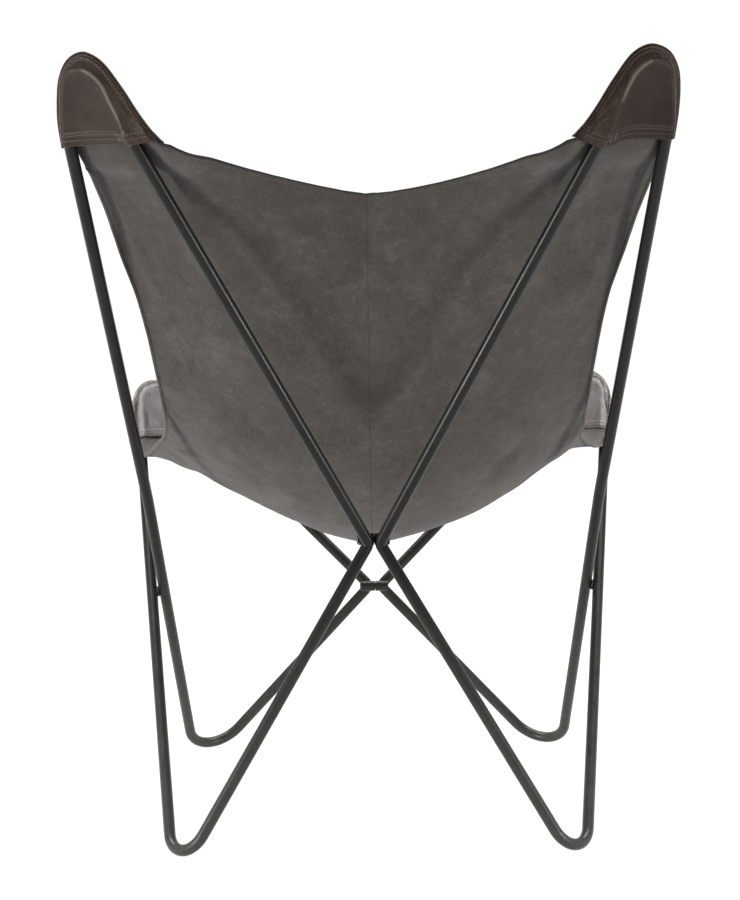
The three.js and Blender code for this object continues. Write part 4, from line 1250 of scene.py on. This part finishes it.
# ------------------------------------------------------------------ canvas
canvas_info = {}
canvas_ob = {}
for sd, nm in ((1, "left"), (-1, "right")):
    v, f, uv, worn, info = sling_panel(sd)
    canvas_info[sd] = info
    ob = make_object(f"{nm}_canvas", metres(v), f, uv, attrs={"worn": worn})
    canvas_ob[sd] = finish_piece(ob, MAT_CANVAS, "frame", "canvas", f"canvas_{nm}_panel")


def pick(field, value, along):
    """Interpolates a grid where field equals value, for each line along the other direction (field rises or falls along it)."""
    def get(grid):
        out = []
        if along == "t":                              # one point per column t, searching over s
            for j in range(field.shape[1]):
                fcol, order = field[:, j], slice(None)
                if fcol[0] > fcol[-1]:
                    order = slice(None, None, -1)
                out.append([np.interp(value, fcol[order], grid[order, j, k]) for k in range(3)])
        else:
            for i in range(field.shape[0]):
                frow, order = field[i], slice(None)
                if frow[0] > frow[-1]:
                    order = slice(None, None, -1)
                out.append([np.interp(value, frow[order], grid[i, order, k]) for k in range(3)])
        return np.array(out)
    return get


for sd, nm in ((1, "left"), (-1, "right")):
    info = canvas_info[sd]
    th = Thread()
    d_side = info["lu"][-1:] - info["lu"]
    d_top = info["lv"]
    d_front = info["lv"][:, -1:] - info["lv"]
    for back in (True, False):
        kw = dict(pitch=4.6, length=3.5, radius=0.40)
        keep = slice(8, -8)
        for fld, val, al in ((d_side, 4.4, "t"), (d_top, 4.4, "s"), (d_front, 4.4, "s")):
            g = pick(fld, val, al)
            grid = info["outer"] if back else info["inner"]
            nn = info["N"] if back else -info["N"]
            p, n = g(grid)[keep], g(nn)[keep]
            th.row(p, n, **kw)
        if sd < 0 and not back:
            for val in (1.9, 8.0):
                g = pick(info["lu"], val, "t")
                grid = info["outer"] if back else info["inner"]
                nn = info["N"] if back else -info["N"]
                th.row(g(grid)[6:-6], g(nn)[6:-6], **kw)
    ob = th.mesh(f"{nm}_canvas_stitches", sd < 0)
    finish_piece(ob, MAT_THREAD_GREY, "frame", "canvas")

# ------------------------------------------------------------------ leather corners
def crease_set(lines):
    def f(x, y):
        out = np.zeros_like(x)
        for x0, y0, x1, y1, w, h in lines:
            d = np.array([x1 - x0, y1 - y0])
            L = np.hypot(*d)
            d = d / L
            u = ((x - x0) * d[0] + (y - y0) * d[1]) / L
            v = -(x - x0) * d[1] + (y - y0) * d[0] + 1.2 * np.sin(u * 5 + x0)
            out += h * step(-0.05, 0.3, u) * (1 - step(0.7, 1.05, u)) * np.exp(-(v / w) ** 2)
        return out
    return f


CREASES = {
    ("ear", 1): crease_set([(-52, -22, -30, 10, 5, 0.9), (-66, -44, -48, -20, 4, -0.8), (-60, -52, -36, -30, 3.5, 0.7), (10, -40, 22, -10, 8, -0.5), (-8, -52, 4, -20, 9, -0.6)]),
    ("ear", -1): crease_set([(-70, -46, -44, -24, 3.2, 1.6), (-64, -38, -40, -14, 3.0, -1.3), (-58, -26, -38, -4, 3.0, 1.5), (-76, -50, -52, -40, 2.6, 1.2),
                             (-50, -12, -36, 10, 3.4, 1.2), (-48, -46, -30, -22, 3.6, -0.9), (-40, -4, -30, 22, 3.5, 0.8), (6, -50, 16, -14, 8, -0.6)]),
    ("knee", 1): crease_set([(-50, -24, -30, 14, 5, 0.7), (20, -28, 34, 8, 8, 0.5), (46, -26, 36, 2, 4, -0.5)]),
    ("knee", -1): crease_set([(-44, -26, -34, 12, 5, -0.6), (14, -30, 10, 12, 9, 0.5)]),
}
NONE = crease_set([])
FINISH = {"ear_patch": MAT_LEATHER, "ear_facing": MAT_LEATHER_SOFT, "knee_facing": MAT_LEATHER_KNEE, "knee_patch": MAT_LEATHER_SOFT}


def welt(pl, edge, side, lean):
    """Strip sewn in between the two faces of a pocket; its outer edge shows between theirs."""
    c = edge[4:-4]
    prof = []
    for d, z in ((2.3, -0.25), (2.05, 0.1), (2.3, 0.45), (3.2, 0.62), (7.5, 0.62), (8.0, 0.1), (7.5, -0.42), (3.2, -0.42)):
        q = inset(c, d)
        prof.append(np.concatenate([q, (z * side + lean(q[:, :1]))], 1))
    g = np.stack(prof, 1)
    v = from_plane(pl, g).reshape(-1, 3)
    n, m = g.shape[:2]
    f = grid_faces(n, m, wrap_j=True).tolist() + [list(range(m))[::-1], list(range((n - 1) * m, n * m))]
    o = v.mean(0)
    A, B, C = (np.array([v[q[k]] for q in f]) - o for k in (0, 1, 2))
    if float((A * np.cross(B, C)).sum()) < 0:
        f = [q[::-1] for q in f]
    tri = []
    for q in f:
        tri += [(q[0], q[k], q[k + 1]) for k in range(1, len(q) - 1)]
    return v, np.array(tri)


def rod_hem_x(skin):
    """Where the two bars cross the hem."""
    r = skin.rod
    d = np.abs(r[:, 1] - skin.hem_y(r[:, 0]))
    outs = []
    for sgn in (1, -1):
        m = r[:, 0] * sgn > 0
        outs.append(float(r[m][d[m].argmin(), 0]))
    return outs


def level(up):
    return lambda x: up + 0.0 * np.asarray(x)


def sagging_hem(x):
    return 1.8 - 8.5 * np.exp(-((x + 46) / 24) ** 2) - 2.5 * step(-62, -80, x)


for sd, nm in ((1, "left"), (-1, "right")):
    th = Thread()
    made = []
    ear_edge, ear_rear, ear_front = (EAR_EDGE, EAR_REAR, EAR_FRONT) if sd > 0 else (EAR_EDGE_R, EAR_REAR_R, EAR_FRONT_R)
    knee_edge, knee_top, knee_under = (KNEE_EDGE, KNEE_TOP, KNEE_UNDER) if sd > 0 else (KNEE_EDGE_R, KNEE_TOP_R, KNEE_UNDER_R)
    for label, pl, skin, edge, side, thick, lift, band, key, seed, hem_up, rep in (
        ("ear_patch", EAR, ear_rear, inset(ear_edge, 4.2), 1, 1.5, 0.0, 16.0, ("ear", sd), 0.0, level(4.6) if sd > 0 else sagging_hem, "ear_pocket_back"),
        ("ear_facing", EAR, ear_front, ear_edge, -1, 1.5, 1.0, 13.0, None, 210.0, level(0.0), "ear_pocket_front"),
        ("knee_facing", KNEE, knee_top, knee_edge, 1, 1.5, 1.0, 11.0, ("knee", sd), 420.0, level(2.6 if sd > 0 else 4.6), "knee_pocket_top"),
        ("knee_patch", KNEE, knee_under, inset(knee_edge, 4.2), -1, 1.5, 0.0, 13.0, None, 640.0, level(2.6), "knee_pocket_under"),
    ):
        piece = leather_piece(pl, skin, edge, side, thick, lift, band, CREASES[key] if key else NONE, seed + 37.0 * sd, hem_up, 1.7 if label == "ear_patch" else 0.0, 0.75 if "ear" in label else 0.35, {"ear_patch": 0.45 if sd > 0 else 0.62}.get(label, 0.0),
                              (0.45, 8, 45) if sd > 0 else (0.0, 30, 72))
        top, bottom = piece["top"], piece["bottom"]
        v, f = shell(top, bottom)
        a, b, c = (v[f[:, k]] for k in (0, 1, 2))
        o = v.mean(0)
        if float(((a - o) * np.cross(b - o, c - o)).sum()) < 0:
            f = f[:, ::-1]
        uv = np.tile(np.stack([piece["X"], piece["Y"]], -1).reshape(-1, 2) * 0.001, (2, 1))
        worn = np.tile(piece["worn"].ravel(), 2)
        if sd < 0:
            v, f = mirror(v, f)
        ob = make_object(f"{nm}_{label}", metres(v), f, uv, attrs={"worn": worn, "dark": np.full(len(v), 0.22 if sd < 0 and "ear" in label else 0.0)})
        finish_piece(ob, MAT_LEATHER_DEEP if label == "ear_patch" and sd < 0 else FINISH[label], "frame", "leather", f"{nm}_{rep}")
        made.append(ob)
        rows = {"ear_patch": (7.6, 13.2), "knee_facing": (4.2, 8.8)}.get(label, (4.2, 10.8))
        stitch_leather(th, piece, rows, 3.2, [rod_hem_x(skin)[1] + (9.0 if label == "ear_patch" else 0.0)] if label in ("ear_patch", "knee_patch") else [])
    ob = th.mesh(f"{nm}_leather_stitches", sd < 0)
    finish_piece(ob, MAT_THREAD if sd > 0 else MAT_THREAD_DARK, "frame", "leather")
    for label, pl, edge, side, lean in (("ear_welt", EAR, ear_edge, 1, ear_lean), ("knee_welt", KNEE, knee_edge, -1, knee_lean)):
        v, f = welt(pl, edge, side, lean)
        if sd < 0:
            v, f = mirror(v, f)
        # The welt is drawn paler all along: partly its edge finish, partly a painted highlight for the light line it
        # shows between the faces.
        ob = make_object(f"{nm}_{label}", metres(v), f, attrs={"worn": np.full(len(v), 0.55), "dark": np.full(len(v), 0.22 if sd < 0 and "ear" in label else 0.0)})
        finish_piece(ob, MAT_LEATHER if "ear" in label else MAT_LEATHER_KNEE, "frame", "leather")
    for m in made:
        A = sum(p.area for p in m.data.polygons) / 2
        ext = np.array([v.co for v in m.data.vertices])

for sd, nm in ((1, "left"), (-1, "right")):
    ob = canvas_ob[sd]
    A = sum(p.area for p in ob.data.polygons) / 2

# ------------------------------------------------------------------ floor and light
floor_me = bpy.data.meshes.new("floor")
R = 30.0
ringpts = [(R * math.cos(a), R * math.sin(a), -0.0006) for a in np.linspace(0, 2 * math.pi, 96, endpoint=False)]
floor_me.from_pydata(ringpts, [], [tuple(range(96))])
floor = bpy.data.objects.new("floor", floor_me)
bpy.context.scene.collection.objects.link(floor)
fm, fnt, fbs = new_material("pale_floor")
fbs.inputs["Base Color"].default_value = (0.10, 0.10, 0.10, 1)
fbs.inputs["Roughness"].default_value = 0.9
fbs.inputs["Specular IOR Level"].default_value = 0.1
fbs.inputs["Emission Color"].default_value = (1, 1, 1, 1)
fbs.inputs["Emission Strength"].default_value = 0.96
floor_me.materials.append(fm)

world = bpy.data.worlds.new("studio")
bpy.context.scene.world = world
world.use_nodes = True
wt = world.node_tree
bg = wt.nodes["Background"]
tc = node(wt, "ShaderNodeTexCoord")
sp = node(wt, "ShaderNodeSeparateXYZ")
wt.links.new(tc.outputs["Generated"], sp.inputs[0])
sky = ramp(wt, map_range(wt, sp.outputs[2], -1.0, 1.0, 0.0, 1.0), [(0.0, (1.04, 1.04, 1.04)), (0.60, (1.04, 1.04, 1.04)), (0.74, (0.36, 0.36, 0.36)), (1.0, (0.36, 0.36, 0.36))])
wt.links.new(sky, bg.inputs["Color"])
bg.inputs["Strength"].default_value = 1.0


# a grey card behind the camera keeps the reflections in the bars and the leather dark
card_me = bpy.data.meshes.new("grey_card")
card_me.from_pydata([(-5.2, 3.4, 0.0), (5.2, 3.4, 0.0), (5.2, 3.4, 5.2), (-5.2, 3.4, 5.2)], [], [(0, 1, 2, 3)])
card = bpy.data.objects.new("grey_card", card_me)
bpy.context.scene.collection.objects.link(card)
cm, cnt, cbs = new_material("grey_card")
cbs.inputs["Base Color"].default_value = (0.02, 0.02, 0.02, 1)
cbs.inputs["Roughness"].default_value = 0.9
cbs.inputs["Emission Color"].default_value = (1, 1, 1, 1)
cbs.inputs["Emission Strength"].default_value = 0.42
card_me.materials.append(cm)
card.visible_camera = False


def area_light(name, at, look, size, power, colour=(1, 1, 1)):
    d = bpy.data.lights.new(name, "AREA")
    d.shape = "RECTANGLE"
    d.size, d.size_y = size
    d.energy = power
    d.color = colour
    o = bpy.data.objects.new(name, d)
    o.location = at
    o.rotation_mode = "QUATERNION"
    o.rotation_quaternion = (Vector(look) - Vector(at)).to_track_quat("-Z", "Y")
    o.visible_camera = False
    bpy.context.scene.collection.objects.link(o)
    return o


area_light("left_box", (1.9, 1.05, 0.36), (0, 0.2, 0.55), (0.48, 0.42), 38)
area_light("right_box", (-1.9, 1.05, 0.36), (0, 0.2, 0.55), (0.40, 0.40), 26)
area_light("top_box", (0.0, -0.95, 3.0), (0, -0.2, 0.5), (4.2, 1.8), 280)
bpy.context.scene.view_settings.view_transform = "Standard"
